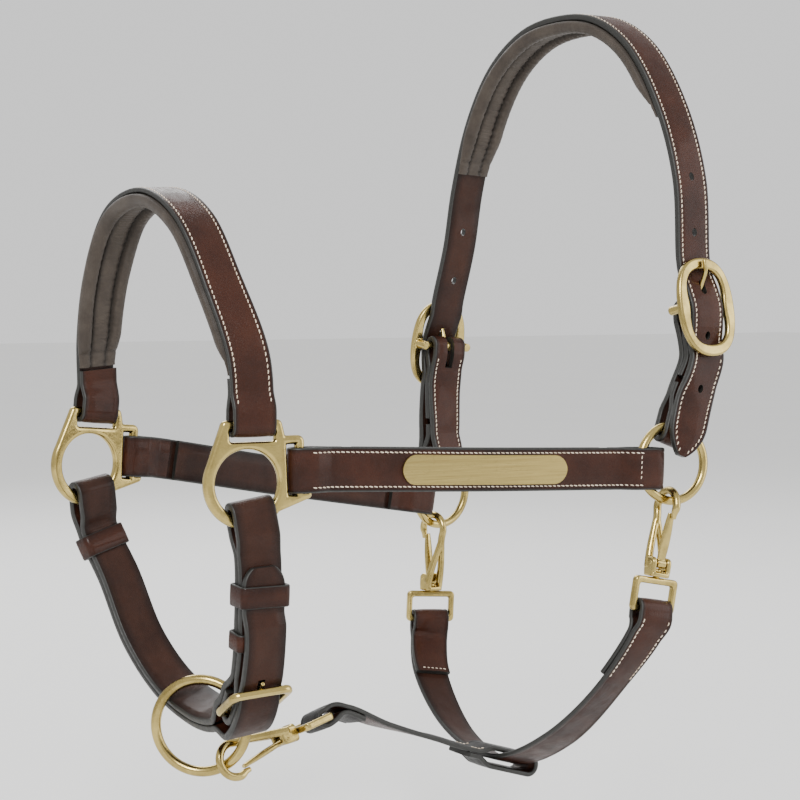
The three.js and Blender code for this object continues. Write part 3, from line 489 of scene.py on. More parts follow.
def plate(outlines, depth, bevel):
    """A flat piece with its outlines in X-Z, depth along Y and rounded edges."""
    curve = bpy.data.curves.new("plate", "CURVE")
    curve.dimensions, curve.fill_mode = "2D", "BOTH"
    curve.extrude, curve.bevel_depth, curve.offset = depth / 2 - bevel, bevel, -bevel
    curve.bevel_resolution = 3
    for outline in outlines:
        line = curve.splines.new("POLY")
        line.points.add(len(outline) - 1)
        for point, (x, z) in zip(line.points, outline):
            point.co = (x, z, 0, 1)
        line.use_cyclic_u = True
    mesh = evaluated(add("plate", curve))
    bm = bmesh.new()
    bm.from_mesh(mesh)
    bmesh.ops.remove_doubles(bm, verts=bm.verts, dist=1e-3)
    bm.verts.index_update()
    places = np.array([(v.co.x, -v.co.z, v.co.y) for v in bm.verts])
    faces = [[v.index for v in f.verts] for f in bm.faces]
    bm.free()
    return places, faces

def cast(name, parts, voxel=0.4, rounds=5, keep=0.4):
    """One cast body from closed parts that run into each other, with its edges softened."""
    obj = add(name, mesh_of(name, *merged(parts), [BRASS], scale=1.0))
    remesh = obj.modifiers.new("remesh", "REMESH")
    remesh.mode, remesh.voxel_size = "VOXEL", voxel
    smooth = obj.modifiers.new("smooth", "SMOOTH")
    smooth.factor, smooth.iterations = 0.5, rounds
    obj.modifiers.new("thin", "DECIMATE").ratio = keep
    return smoothed(evaluated(obj), 70)

def placed(name, mesh, m, node, body="headcollar"):
    """A copy of a mesh made in millimetres, put in frame m."""
    mesh = mesh.copy()
    scaled = np.array(m, float)
    scaled[:3] *= MM
    mesh.transform(Matrix(scaled.tolist()))
    mesh.update()
    piece(name, mesh, [node], body)

def torus(name, radius, wire, centre, axis, node, body, around=120, sides=22):
    z = unit(axis)
    x = unit(np.cross(z, V(0.1, 0.2, 0.97)))
    y = np.cross(z, x)
    rows = []
    b = 2 * np.pi * np.arange(sides)[:, None] / sides
    for i in range(around):
        a = 2 * np.pi * i / around
        r = math.cos(a) * x + math.sin(a) * y
        rows.append(centre + (radius + wire * np.cos(b)) * r + wire * np.sin(b) * z)
    piece(name, mesh_of(name, *lofted(rows, closed=True), [BRASS]), [node], body)

# ---- Stitching
STITCH, PITCH, THREAD_RADIUS = 2.55, 2.95, 0.37
SUNK = 0.14  # how far a thread's middle lies under the strap's face
SLANT = 0.16  # sideways step of a stitch over its length

def sewn(height, thick, face=1):
    """The height of a stitch row over a strap's line, as a function of the distance along it."""
    return lambda s: face * (height(s) + thick / 2 - SUNK)

def seam(line, a, lift, start, stop, face=1):
    """A stitch row along a strap: places, and the ways along, across and out of each stitch."""
    s = np.arange(start, stop, PITCH)
    f = line.sample(s)
    a, lift = (x(s) if callable(x) else np.full(len(s), float(x)) for x in (a, lift))
    return f.at + a[:, None] * f.across + lift[:, None] * f.out, f.along, face * f.across, face * f.out

def cross_seam(line, s, lift, a0, a1, face=1):
    """A stitch row across a strap, in the form that seam gives."""
    a = np.arange(a0, a1 + 0.1, PITCH)
    f = line.sample(np.full(len(a), float(s)))
    return f.at + a[:, None] * f.across + lift(s) * f.out, f.across, -face * f.along, face * f.out

def thread(name, seams):
    """All the stitches of some seams as one piece: slanted lengths whose ends dip into the leather."""
    places = np.array([-1, -0.8, -0.4, 0, 0.4, 0.8, 1]) * STITCH / 2
    radii = np.array([0.3, 0.75, 1, 1, 1, 0.75, 0.3]) * THREAD_RADIUS
    heights = np.array([-0.45, -0.1, 0.12, 0.18, 0.12, -0.1, -0.45])
    side = 2 * np.pi * np.arange(6) / 6
    rings = []
    for y, r, z in zip(places, radii, heights):
        rings.append(np.stack([r * np.cos(side) + SLANT * y, np.full(6, y), z + r * np.sin(side)], 1))
    template, faces = lofted(rings)
    parts = []
    for at, along, across, out in seams:
        for i in range(len(at)):
            frame_i = np.stack([across[i], along[i], out[i]])
            parts.append((at[i] + template @ frame_i, faces))
    piece(name, mesh_of(name, *merged(parts), [THREAD], sharp=80))

# ---- Where the hardware is
class Side:
    """The cast fitting, cheek ring, buckle and snap hook of one side; out is its sign along Y.

    bar is the middle of the buckle's bar, with the strap going up from it. hook is where the snap holds
    the ring and eye_turn the turn of its eye, in degrees. held, drop and chape_at place the straps there.
    """

    LEAN = 0.72  # the share of the cheek strap's slope that the fitting follows

    def __init__(self, name, out, fitting, ring, bar, up, hang, hook, eye_turn, held, drop, chape_at):
        self.name, self.out, self.fitting, self.ring, self.bar = name, out, fitting, ring, bar
        self.up, self.hang, self.eye_turn = unit(up), unit(hang), math.radians(eye_turn)
        self.held, self.drop, self.chape_at = held, drop, chape_at

        # The cast fitting, which leans towards the cheek ring.
        other = ring - fitting
        self.along = unit(V(other[0], other[1], 0))
        tilt = math.atan2(other[2], math.hypot(other[0], other[1])) * self.LEAN
        self.fx = self.along * math.cos(tilt) + UP * math.sin(tilt)
        self.fz = -self.along * math.sin(tilt) + UP * math.cos(tilt)
        self.cast_frame = axes(self.fx, np.cross(self.fz, self.fx), self.fz, fitting)

        # The cheek ring, in the plane of the cheek strap and of the way to the buckle.
        self.towards = unit(bar - ring)
        self.axis = unit(np.cross(self.towards, self.along))
        self.ring_up = unit(UP - self.axis[2] * self.axis)
        back = facing(np.cross(self.ring_up, self.axis), 0)

        # The buckle, facing away from the head.
        self.x = unit(X - self.up[0] * self.up)
        self.outward = np.cross(self.x, self.up) * -out
        self.buckle = axes(out * self.x, self.outward, self.up, bar)

        # The snap hook, with its bow round the ring's wire, and its square eye.
        angle = math.radians(hook)
        radial = back * math.cos(angle) + self.ring_up * math.sin(angle)
        wire = -back * math.sin(angle) + self.ring_up * math.cos(angle)
        z = -self.hang
        y = unit(wire - np.dot(wire, z) * z)
        x = np.cross(y, z)
        if x[1] * out < 0:
            x, y = -x, -y
        self.eye_at = ring + RING * radial + RING_AT * self.hang
        self.snap = axes(x, y, z, self.eye_at)
        self.eye_across = facing(math.cos(self.eye_turn) * y - math.sin(self.eye_turn) * x, 0, -1)

    def on_fitting(self, u, w):
        return self.fitting + u * self.fx + w * self.fz

    def on_buckle(self, o, u):
        return put(self.buckle, (0, o, u))

NEAR = Side("near", -1, fitting=V(-293.3, -83, -269), ring=V(-18.3, -117, -268.4), bar=V(2.5, -113.5, -176.5),
            up=V(-0.01, 0.2, 0.98), hang=V(-0.19, 0, -0.98), hook=-100, eye_turn=8,
            held=14.6, drop=-2.5, chape_at=16.6)
FAR = Side("far", 1, fitting=V(-309, 82, -269.3), ring=V(-23.6, 117, -304.6), bar=V(-22.5, 113.5, -203),
           up=V(0.06, -0.14, 0.99), hang=V(-0.05, 0, -0.999), hook=-106, eye_turn=-26,
           held=15.3, drop=-1.7, chape_at=18.1)
SIDES = (NEAR, FAR)
CHIN_RING_AT = V(-277.8, -2, -417.3)
CHIN_RING_AXIS = unit(V(-0.669, -0.743, 0))
CHIN_HEEL = V(-283.5, -64, -397)
CHIN_EYE = V(-218.65, -10, -426.33)
snap_z = unit(V(-0.97, -0.09, -0.24))
snap_x = V(0.26, -0.33, -0.91)
snap_x = unit(snap_x - np.dot(snap_x, snap_z) * snap_z)
CHIN_SNAP = axes(snap_x, np.cross(snap_z, snap_x), snap_z, CHIN_EYE)
THROAT_BOTTOM = V(-59.3, -4, -463)
THROAT_ACROSS = V(-0.955, 0, 0.3)
STRAP_LOOK = [HAVANA, EDGE, HAVANA_INSIDE]

def strap(name, route, node, width=STRAP, look=STRAP_LOOK):
    """A strap of one ply along a route (places and ways across)."""
    mesh = ribbon(name, *route, width, PLY, look)
    piece(name, mesh, [node])

# ---- Pads
# From the edge over the roll and into the sewn channel, in shares of half width and of height.
PAD_PROFILE = [
    (1.0, 0.16), (1.0, 0.4), (0.97, 0.64), (0.9, 0.85), (0.79, 0.97), (0.67, 1.0), (0.56, 0.94),
    (0.48, 0.74), (0.44, 0.5), (0.41, 0.44), (0.38, 0.5), (0.32, 0.6), (0.2, 0.66), (0.08, 0.68),
]
# Painted shade along the pad's profile, darkest in the sewn channel between the rolls.
PAD_PAINTED_SHADE = [0.2, 0.1, 0, 0, 0, 0, 0, 0.5, 0.9, 1.0, 0.9, 0.5, 0, 0]
PAD_STEP = 0.6

def pad(name, line, s0, s1, drop, run, node, ruffle):
    """A lining of two soft rolls with a sewn, ribbed channel between them, puckered at its seams."""
    s = np.linspace(s0, s1, int((s1 - s0) / PAD_STEP))
    f = line.sample(s)
    middle = f.at - drop * f.out
    end = np.minimum(s - s0, s1 - s)
    level = 0.3 + 0.7 * ease(end / run)
    level = level * (1 - 0.3 * np.exp(-(((end - 8.5) / 1.3) ** 2)))
    bottom = PAD_PROFILE + [(-a, d) for a, d in PAD_PROFILE[::-1]]
    rows, rim = [], []
    wave = np.sin(2 * np.pi * s / 4.6 + 1.3 * np.sin(s / 11.0)) + 0.6 * np.sin(2 * np.pi * s / 7.9 + 2.0)
    slow = np.sin(s / 17.0) + 0.5 * np.sin(s / 7.3 + 1.0)
    rib = np.sin(2 * np.pi * s / 2.5 + 0.8 * np.sin(s / 9.0))
    rib = rib * (0.55 + 0.45 * np.sin(s / 23.0)) * ease((end - 12) / 8)
    for i in range(len(s)):
        h = PAD * level[i]
        w = PAD_WIDTH / 2 * (0.85 + 0.15 * ease(end[i] / run)) + 0.12 * slow[i]
        row = [middle[i] - 0.94 * w * f.across[i], middle[i], middle[i] + 0.94 * w * f.across[i]]
        for a, d in bottom:
            near_seam = math.exp(-(((abs(a) - 0.43) / 0.16) ** 2))
            pucker = ruffle * (near_seam * 0.3 + 0.05) * wave[i] * (1 if a > 0 else -0.8)
            depth = d * h + (0.22 * rib[i] if abs(a) < 0.35 else 0) + pucker
            row.append(middle[i] + a * w * f.across[i] - depth * f.out[i])
        rows.append(np.array(row))
        # The three points against the strap get painted shade as well.
        rim += [0.6, 0.6, 0.6] + PAD_PAINTED_SHADE + PAD_PAINTED_SHADE[::-1]
    mesh = mesh_of(name, *lofted(rows), [LINING], rim=rim, sharp=75)
    piece(name, mesh, [node])

# ---- Noseband
HOLD = CAST_BAR + FIT + PLY / 2 + 0.1  # radius of a strap's fold round a fitting's bar
flat_across = V(1, 0, 0.03)
nose_points = [
    NEAR.on_fitting(3.3, 31.6), NEAR.on_fitting(3.3, 43.6), V(-292, -82.3, -200), V(-298.6, -67, -162),
    V(-302.6, -41, -125), V(-303, 0, -109.5), V(-303.8, 41, -120), V(-304.6, 66, -155),
    V(-303.6, 79.5, -193), FAR.on_fitting(3.3, 43.6), FAR.on_fitting(3.3, 31.6),
]
nose_refs = [NEAR.fx, NEAR.fx, V(1, -0.1, 0.05), *[flat_across] * 5, V(1, 0.1, 0), FAR.fx, FAR.fx]
nose = stations(nose_points, nose_refs, 300)
nose_hold = (HOLD, 7, 26.8)
strap("noseband_leather", turned(nose, 1, nose_hold, nose_hold), "noseband_strap")
lift = sewn(rise(nose, nose_hold, nose_hold, PLY), PLY)
thread("noseband_stitching", [seam(nose, a, lift, 13, nose.total - 12) for a in (-ROW, ROW)])
pad("noseband_padding", nose, 28, nose.total - 28, NAP, 22, "noseband_pad", 0.7)

# ---- Fittings, rings and cheek straps
outline = np.vstack([
    arc(0, 0, RIM, 155, 320, 60),
    [(34.6, -10.6), (37.4, -9.6), (38.5, -8.2), (38.2, -5.6), (36.4, -5.2), (34, -5.2), (34, 21.5)],
    bezier((34, 21.5), (34, 23.4), (32.6, 25.4), (30, 25.4), 8),
    [(30, 25.4), (22.6, 25.4), (21.2, 31)],
    bezier((21.2, 31), (20.8, 33.2), (19.6, 34.6), (17.4, 34.4), 8),
    [(17.4, 34.4), (-11, 34.4)],
    bezier((-11, 34.4), (-13.4, 34.4), (-14.7, 33.4), (-15.2, 31), 8),
    [(-15.2, 31)],
])
nose_window = rounded(-9.8, 16.4, 22.6, 29.2, 1.4)
cheek_window = [(24.6, -7), (28.8, -7), (28.8, 20.4), (23.4, 20.4)]
round_window = arc(0, 0, HOLE, 0, 354, 60)
fitting_mesh = cast("fitting", [plate([outline, nose_window, cheek_window, round_window], CAST_DEPTH, 2.1)])
for side in SIDES:
    n = side.name
    placed(f"{n}_cast_fitting", fitting_mesh, side.cast_frame, f"{n}_fitting")
    torus(f"{n}_round_ring", RING, WIRE, side.ring, side.axis, f"{n}_cheek_ring", f"{n}_ring")
    across = V(0, 0, -1) if side.out < 0 else UP
    outward = np.cross(across, side.along)
    start = side.on_fitting(31.3, 6)
    end = side.ring - side.held * side.along + side.drop * side.ring_up
    middle = (start + end) / 2 + 2.5 * outward
    lead = start + 12 * side.fx + 0.4 * outward
    refs = [side.out * v for v in (side.fz, side.fz, UP, UP)]
    cheek = side.cheek = stations([start, lead, middle, end], refs, 200)
    holds = (HOLD, 7, 26), (WIRE + FIT + PLY / 2 + 1, 14, 32)
    strap(f"{n}_cheek_leather", turned(cheek, 1, *holds), f"{n}_cheek_strap")
    f = cheek.sample(np.linspace(32, cheek.total - 38, 150))
    strap(f"{n}_cheek_inner_layer", (f.at - (PLY + NAP) / 2 * f.out, f.across), f"{n}_cheek_lining")
    lift = sewn(rise(cheek, *holds, PLY), PLY)
    rows = [seam(cheek, a, lift, 7, cheek.total - 12) for a in (-ROW, ROW)]
    rows.append(cross_seam(cheek, cheek.total - 12.5, lift, -6.9, 7.0))
    thread(f"{n}_cheek_stitching", rows)

# ---- Nameplate
def nameplate(half=53.5, wide=17.0, thick=1.2):
    """A brass plate with round ends, bent to the near cheek strap."""
    near_end = half * (1 - np.cos(np.linspace(0.02, math.pi / 2, 40))) * 0.4
    d = np.unique(np.concatenate([near_end, np.linspace(0.41, 0.98, 30) * half, [half]]))
    u = np.unique(np.concatenate([-half + d, half - d]))
    f = NEAR.cheek.sample(0.495 * NEAR.cheek.total + u)
    room = half - np.abs(u) + 0.02
    r = wide / 2
    widths = np.where(room >= r, r, np.sqrt(np.maximum(0.2, r * r - (r - np.minimum(room, r)) ** 2)))
    rows = []
    for i in range(len(u)):
        w, h, b = widths[i], thick / 2, min(0.35, widths[i] * 0.4)
        right = [(w - b, -h), (w, -h + b), (w, h - b), (w - b, h), (0.5 * w, h + 0.05)]
        section = right + [(0, h + 0.06)] + [(-a, o) for a, o in right[::-1]]
        base = f.at[i] + (NAP / 2 + PLY + 0.2 + thick / 2) * f.out[i]
        rows.append(np.array([base + a * f.across[i] + o * f.out[i] for a, o in section]))
    mesh = mesh_of("brass_nameplate", *lofted(rows), [PLATE], sharp=40)
    piece("brass_nameplate", mesh, ["nameplate"])

nameplate()

# ---- Crown buckles, tongues and chapes
proud, span = BUCKLE["proud"], BUCKLE["width"] - 9

def buckle_rim():
    """The buckle's flat oval with its waisted window; each half is the other turned round."""
    w, h = BUCKLE["width"] / 2, BUCKLE["height"] / 2
    a, b = BUCKLE["window"] / 2, BUCKLE["opening"] / 2
    oval = np.vstack([
        bezier((0, -h), (w * 0.72, -h), (w, -h * 0.62), (w, 0)),
        bezier((w, 0), (w, h * 0.62), (w * 0.72, h), (0, h)),
    ])
    window = np.vstack([
        bezier((0, -b), (a * 0.8, -b), (a + 0.4, -b * 0.72), (a, -b * 0.3)),
        bezier((a, -b * 0.3), (a - 0.9, -b * 0.1), (a - 0.9, b * 0.1), (a, b * 0.3), 8),
        bezier((a, b * 0.3), (a + 0.4, b * 0.72), (a * 0.8, b), (0, b)),
    ])
    outlines = [np.vstack([half, -half]) for half in (oval, window)]
    verts, faces = plate(outlines, BUCKLE["thick"], 1.7)
    return verts + V(0, proud, 0), faces

legs = [rod(2.9, proud + 2.2, Y, V(k * span / 2, (proud - 2.2) / 2, 0)) for k in (-1, 1)]
buckle_mesh = cast("buckle", [buckle_rim(), rod(BUCKLE["bar"], span, X, V(0, 0, 0)), *legs])
TONGUE = [V(0, 2.6, 2), V(0, 4.2, 7), V(0, 9.2, 15), V(0, 13.7, 21.5), V(0, 13.9, 28)]
tongue_roll = rod(3.7, 4.4, X, V(0, 0, 0))
tongue_mesh = cast("tongue", [tongue_roll, tube(TONGUE, lambda t: 1.6 - 0.3 * t, 24, 14, X)], 0.3, 3, 0.5)

def tongue_room(path, radius, m, lifts):
    """What a tongue sweeps at some lifts, in degrees, as tools for cut."""
    tools = []
    for lift in lifts:
        c, s = math.cos(math.radians(-lift)), math.sin(math.radians(-lift))
        points = [V(p[0], c * p[1] - s * p[2], s * p[1] + c * p[2]) for p in path]
        tools.append(moved(m, tube(points, radius, 10, 12, X)))
    return tools

for side in SIDES:
    n = side.name
    placed(f"{n}_oval_buckle", buckle_mesh, side.buckle, f"{n}_buckle")
    placed(f"{n}_buckle_pin", tongue_mesh, side.buckle, f"{n}_tongue", f"{n}_buckle_tongue")
    tangent = facing(unit(np.cross(side.towards, side.axis)), 0, -side.out)
    start = side.ring + side.chape_at * side.towards
    across = side.x if side.out < 0 else -side.x
    low = side.bar - 30 * side.up - 3.5 * side.outward
    lower = (start + low) / 2 - 0.8 * side.outward
    high = side.bar - 12 * side.up - 1.9 * side.outward
    points, refs = [start, lower, low, high, side.bar], [tangent, tangent, across, across, across]
    side.coarse = stations(points, refs, 34)
    chape = stations(points, refs, 120)
    ring_hold = (WIRE + FIT + HEAVY_PLY / 2 + 0.3, 12, 30)
    holds = ring_hold, (BUCKLE["bar"] + FIT + HEAVY_PLY / 2, 4.5, chape.total - 34)
    route = turned(chape, -1, *holds, HEAVY_PLY)
    mesh = ribbon(f"{n}_chape_leather", *route, STRAP, HEAVY_PLY, STRAP_LOOK, grain=-1)
    mesh = cut(mesh, [moved(side.buckle, block(5.6, 18, 24, -2))])
    piece(f"{n}_chape_leather", mesh, [f"{n}_chape"])
    lift = sewn(rise(chape, *holds, HEAVY_PLY), HEAVY_PLY, -1)
    rows = [seam(chape, a, lift, 12, chape.total - 9, -1) for a in (-ROW, ROW)]
    thread(f"{n}_chape_stitching", rows)

# ---- Crown and poll pad
def billet(side):
    """The crown's route from the billet's tip, over the chape and through the buckle."""
    line = side.coarse
    level = HEAVY_PLY + NAP / 2 + NAP + CROWN_PLY / 2
    under = proud - BUCKLE["thick"] / 2 - FIT - CROWN_PLY / 2 - 0.3

    def over(s, lift):
        i = line.index(s)
        return line.at[i] + lift * line.out[i]

    over_chape = [(4, level + 3.6), (22, level + 2.6), (32, level + 1.8)]
    in_buckle = [
        (under - 0.3, -30), (under - 0.2, -21.5), (under + 3.1, -10.5), (proud, 0),
        (under + 3.1, 10.5), (under - 0.2, 21.5), (under - 0.4, 31),
    ]
    tip = over(0, level + 3.4) - 13 * line.along[0]
    return [tip, *(over(*place) for place in over_chape), *(side.on_buckle(*place) for place in in_buckle)]

def billet_refs(side):
    return [facing(side.coarse.across[6], 0)] * 3 + [facing(side.buckle[:3, 0], 0)] * 8

over_head = [
    V(3, -107, -97.6), V(2.5, -91, -53), V(1.2, -63, -13), V(-0.5, -32, 6), V(-2.5, 0, 10), V(-6, 33, 4.2),
    V(-8.5, 64, -16), V(-10.5, 87, -50), V(-13, 101, -95), V(-16, 106.5, -135),
]
crown = stations([*billet(NEAR), *over_head, *billet(FAR)[::-1]],
                 [*billet_refs(NEAR), *[X] * 10, *billet_refs(FAR)[::-1]], 460)

def crown_width(s):
    d = np.minimum(s, crown.total - s)
    narrowed = STRAP * np.sin(np.pi / 2 * np.minimum(1, (d + 1.5) / 22) ** 0.75)
    return np.where(d > 22, STRAP, np.maximum(3, narrowed))

def billet_row(sign):
    """A stitch row's distance from the middle, which follows the billets' narrowing tips."""
    return lambda s: sign * np.maximum(0.35, crown_width(s) / 2 - 2.9)

mesh = ribbon("crown_leather", crown.at, crown.across, crown_width(crown.s), CROWN_PLY, STRAP_LOOK)
tools = []
for side in SIDES:
    tools += tongue_room(TONGUE, 2.1, side.buckle, (0, 7, 14))
    in_buckle = crown.s[crown.nearest(side.on_buckle(6, 14))]
    for k in (-2, -1, 1, 2):
        i = crown.index(in_buckle - side.out * k * HOLE_PITCH)
        oval_hole = axes(crown.across[i] * 1.9, crown.along[i] * 2.6, crown.out[i], crown.at[i])
        tools.append(moved(oval_hole, rod(1.0, 12, UP, V(0, 0, 0), 20)))
piece("crown_leather", cut(mesh, tools), ["crown_strap"])
rows = [seam(crown, billet_row(k), CROWN_PLY / 2 - SUNK, 3.4, crown.total - 3.4) for k in (-1, 1)]
thread("crown_stitching", rows)
inside = crown.s[crown.at[:, 2] > np.where(crown.at[:, 1] < 0, -57, -86)]
pad("poll_padding", crown, inside.min(), inside.max(), CROWN_PLY / 2 + NAP, 30, "poll_pad", 1.2)

# ---- Snaps
half_eye, eye_wire = STRAP / 2 + 4.4, 3.8
loop, loop_faces = plate([
    rounded(-half_eye, half_eye, -EYE_DROP - 2.2, 2.1, 3),
    rounded(-half_eye + eye_wire, half_eye - eye_wire, -EYE_DROP + 2.2, -2.1, 1.5),
], 4.4, 1.3)
loop = np.stack([-loop[:, 1], loop[:, 0], loop[:, 2]], 1)
neck, rivet = rod(1.9, 6.6, UP, V(0, 0, 3.6)), rod(2.8, 1.2, UP, V(0, 0, 6.1), 24, 0.9)
eye_mesh = cast("eye", [(loop, loop_faces), neck, rivet], 0.35)

def hook_radius(t):
    return 2.5 - 0.9 * float(ease((t - 0.85) / 0.15))

def leaf_radius(t):
    return 1.2 + 0.75 * math.sin(math.pi * min(1.0, 0.12 + 0.85 * t))

bow = [V(10 * math.cos(a), 0, 45 + 10 * math.sin(a)) for a in np.linspace(math.pi, 0, 9)]
bent = [V(-8.3, 0, 34), V(-8.9, 0, 40), *bow, V(8.9, 0, 41.5), V(8.6, 0, 38)]
foot, foot_faces = plate([rounded(-5.5, 5.5, -6.8, 6.8, 2.6)], 2.8, 0.9)
lug, lug_faces = plate([rounded(-5, 4.8, 2.85, 14.35, 3.4)], 3.2, 1.1)
LUG_AT = 5.2  # distance of a lug from the hook's middle plane
hook_parts = [(foot[:, [0, 2, 1]] + V(0, 0, 3.9), foot_faces), tube(bent, hook_radius, 60, 18)]
hook_parts += [(lug + V(0, k * LUG_AT, 0), lug_faces) for k in (-1, 1)]
for k in (-1, 1):
    leg = [V(-2.5, k * LUG_AT, 8), V(-4.6, k * 4.2, 18), V(-7.2, k * 1.9, 30), V(-8.6, k * 0.5, 37)]
    hook_parts.append(tube(leg, lambda t: 2.6 - 0.5 * t, 16, 14))
hook_mesh = cast("hook", hook_parts, 0.35, 6)
HINGE = V(2, 0, 10.6)
leaf = tube([HINGE, V(3.5, 0, 24), V(4.7, 0, 34), V(5.6, 0, 41.5)], leaf_radius, 24, 16, Y, 1.7)
gate_mesh = cast("gate", [rod(2.7, 5.6, Y, HINGE), leaf], 0.3, 3, 0.5)
pin_mesh = cast("pin", [rod(1.2, 13.4, Y, HINGE, 20, 0.5)], 0.2, 2, 0.5)
snaps = [("near", NEAR.snap, NEAR.eye_turn), ("far", FAR.snap, FAR.eye_turn), ("chin", CHIN_SNAP, 0.0)]
for n, m, turn in snaps:
    spin = axes(V(math.cos(turn), math.sin(turn), 0), V(-math.sin(turn), math.cos(turn), 0), UP, V(0, 0, 0))
    placed(f"{n}_square_eye", eye_mesh, m @ spin, f"{n}_snap_eye")
    placed(f"{n}_swivel_hook", hook_mesh, m, f"{n}_snap_hook", f"{n}_hook")
    placed(f"{n}_gate_rivet", pin_mesh, m, f"{n}_snap_pin", f"{n}_hook")
    placed(f"{n}_spring_gate", gate_mesh, m, f"{n}_snap_gate", f"{n}_gate")

# ---- Throat strap and link strap
def below_eye(side, more=0):
    return side.eye_at + side.hang * (EYE_DROP + more)

throat_points = [
    below_eye(NEAR), below_eye(NEAR, 10), V(-50, -100, -399.7), V(-57, -56, -441), THROAT_BOTTOM,
    V(-55, 50, -455), V(-47, 95, -424), below_eye(FAR, 10), below_eye(FAR),
]
throat_refs = [
    NEAR.eye_across, NEAR.eye_across, V(-0.96, -0.1, 0.1), V(-0.955, 0, 0.25), THROAT_ACROSS,
    V(-0.95, 0.1, 0.3), V(-0.92, 0.3, 0.2), FAR.eye_across, FAR.eye_across,
]
throat = stations(throat_points, throat_refs, 300)
hold = (EYE_BAR + FIT + PLY / 2, 5, 48)
strap("throat_leather", turned(throat, 1, hold, hold), "throat_strap")
lie = rise(throat, hold, hold, PLY)
face_lift, back_lift = sewn(lie, PLY), sewn(lie, PLY, -1)
ends = [(7, 47), (throat.total - 47, throat.total - 7)]
rows = [seam(throat, a, face_lift, s0, s1) for a in (-ROW, ROW) for s0, s1 in ends]
rows += [cross_seam(throat, s, back_lift, -8.4, 8.5, -1) for s in (45, throat.total - 45)]
thread("throat_stitching", rows)

eye_across = facing(CHIN_SNAP[:3, 1], 1, -1)
down = unit(np.cross(THROAT_ACROSS, Y))
in_loop = THROAT_BOTTOM + (PLY + NAP) / 2 * down
flat_ref = V(0, -1, 0)
link_points = [
    put(CHIN_SNAP, (0, 0, -EYE_DROP)), put(CHIN_SNAP, (0, 0, -EYE_DROP - 14)),
    V(-157, -8, -431.5), V(-118, -6, -445),
    in_loop + 27 * THROAT_ACROSS, in_loop - (STRAP / 2 + 1.2) * THROAT_ACROSS,
]
link_refs = [eye_across, eye_across, V(0, -1, 0.15), flat_ref, flat_ref, flat_ref]
link_line = stations(link_points, link_refs, 180)
holds = (EYE_BAR + FIT + PLY / 2, 5, 30), (PLY + FIT + 2.4, STRAP + 5, 50)
strap("link_leather", turned(link_line, 1, *holds), "link_strap", LINK_WIDTH, [DARK_SIDE, EDGE, HAVANA])
lift = sewn(rise(link_line, *holds, PLY), PLY)
starts = (20, link_line.total - 47)
rows = [seam(link_line, a, lift, s0, s0 + 9) for a in (-7.8, 7.8) for s0 in starts]
thread("link_stitching", rows)

# ---- Chin ring, chin strap, its buckle and keepers
torus("lead_rope_ring", LEAD_RING, LEAD_WIRE, CHIN_RING_AT, CHIN_RING_AXIS, "chin_ring", "lead_ring")
in_ring = math.sqrt(HOLE**2 - (STRAP / 2 + 0.4) ** 2)
chin_turn = CAST_DEPTH / 2 + FIT + HEAVY_PLY / 2 + 0.2
held_at = in_ring - 0.9 + (chin_turn - HEAVY_PLY / 2)
level_ref, tipped_ref = V(-1, 0, 0), V(-1, 0, -0.3)
points = [
    NEAR.on_fitting(held_at * 0.16, -held_at * 0.987), NEAR.on_fitting(6.2, -40) + V(0, -0.6, 0),
    V(-286.5, -82.5, -345), V(-285, -75.5, -376), CHIN_HEEL, V(-280, -38, -406), V(-277, -2, -406.8),
    V(-280.5, 29, -396), V(-287, 54, -372), V(-293.5, 72, -337),
    FAR.on_fitting(10, -38) + V(0, 0.5, 0), FAR.on_fitting(held_at * 0.26, -held_at * 0.966),
]
refs = [
    -NEAR.along, -NEAR.along, level_ref, level_ref, level_ref, tipped_ref, V(-1, 0, -0.36), tipped_ref,
    V(-1, 0, -0.15), level_ref, -FAR.along, -FAR.along,
]
coarse = stations(points, refs, 84)
chin = stations(points, refs, 420)
heel = coarse.s[coarse.nearest(CHIN_HEEL)]
base = (HEAVY_PLY + NAP) / 2
step = HEAVY_PLY + NAP
chin_bar, chin_reach = 2.3, 26  # half thickness of the buckle, and the distance between its bars' middles
on_heel = chin_bar + FIT + HEAVY_PLY / 2 + 0.8

def heap(s):
    """1 where the strap lies over its buckle's heel, 0 away from it."""
    return 1 - ease((np.abs(s - heel) - 9) / 16)

def at_ends(s):
    """1 where the strap turns round a fitting, 0 away from it."""
    return 1 - ease((np.minimum(s, chin.total - s) - 12) / BLEND)

def layer(more):
    """The height of a layer over the chin strap's line, which goes more over the heel."""
    return lambda s: base + (chin_turn - base) * at_ends(s) + (on_heel + more - base) * heap(s)

inner, middle_layer = layer(step), layer(0)

def outer(s):
    over_keeper = 2.7 * ease((s - heel + 62) / 9) * (1 - ease((s - heel + 26) / 12))
    return np.where(s < heel, middle_layer(s) + (step + over_keeper), inner(s))

i = int(np.searchsorted(chin.s, heel))
tail = (chin.s >= heel - 12) & (chin.s <= heel - 0.5)
up_part = chin.s <= chin.s[i]
tip = 29.0
out_part = chin.s >= tip
at, ref, width = [], [], []

def lay(places, refs_here, wide=STRAP):
    """Adds a stretch to the chin strap's route, which runs from its sewn tail to its tip."""
    at.append(places)
    ref.append(refs_here)
    width.append(np.broadcast_to(wide, (len(places),)))

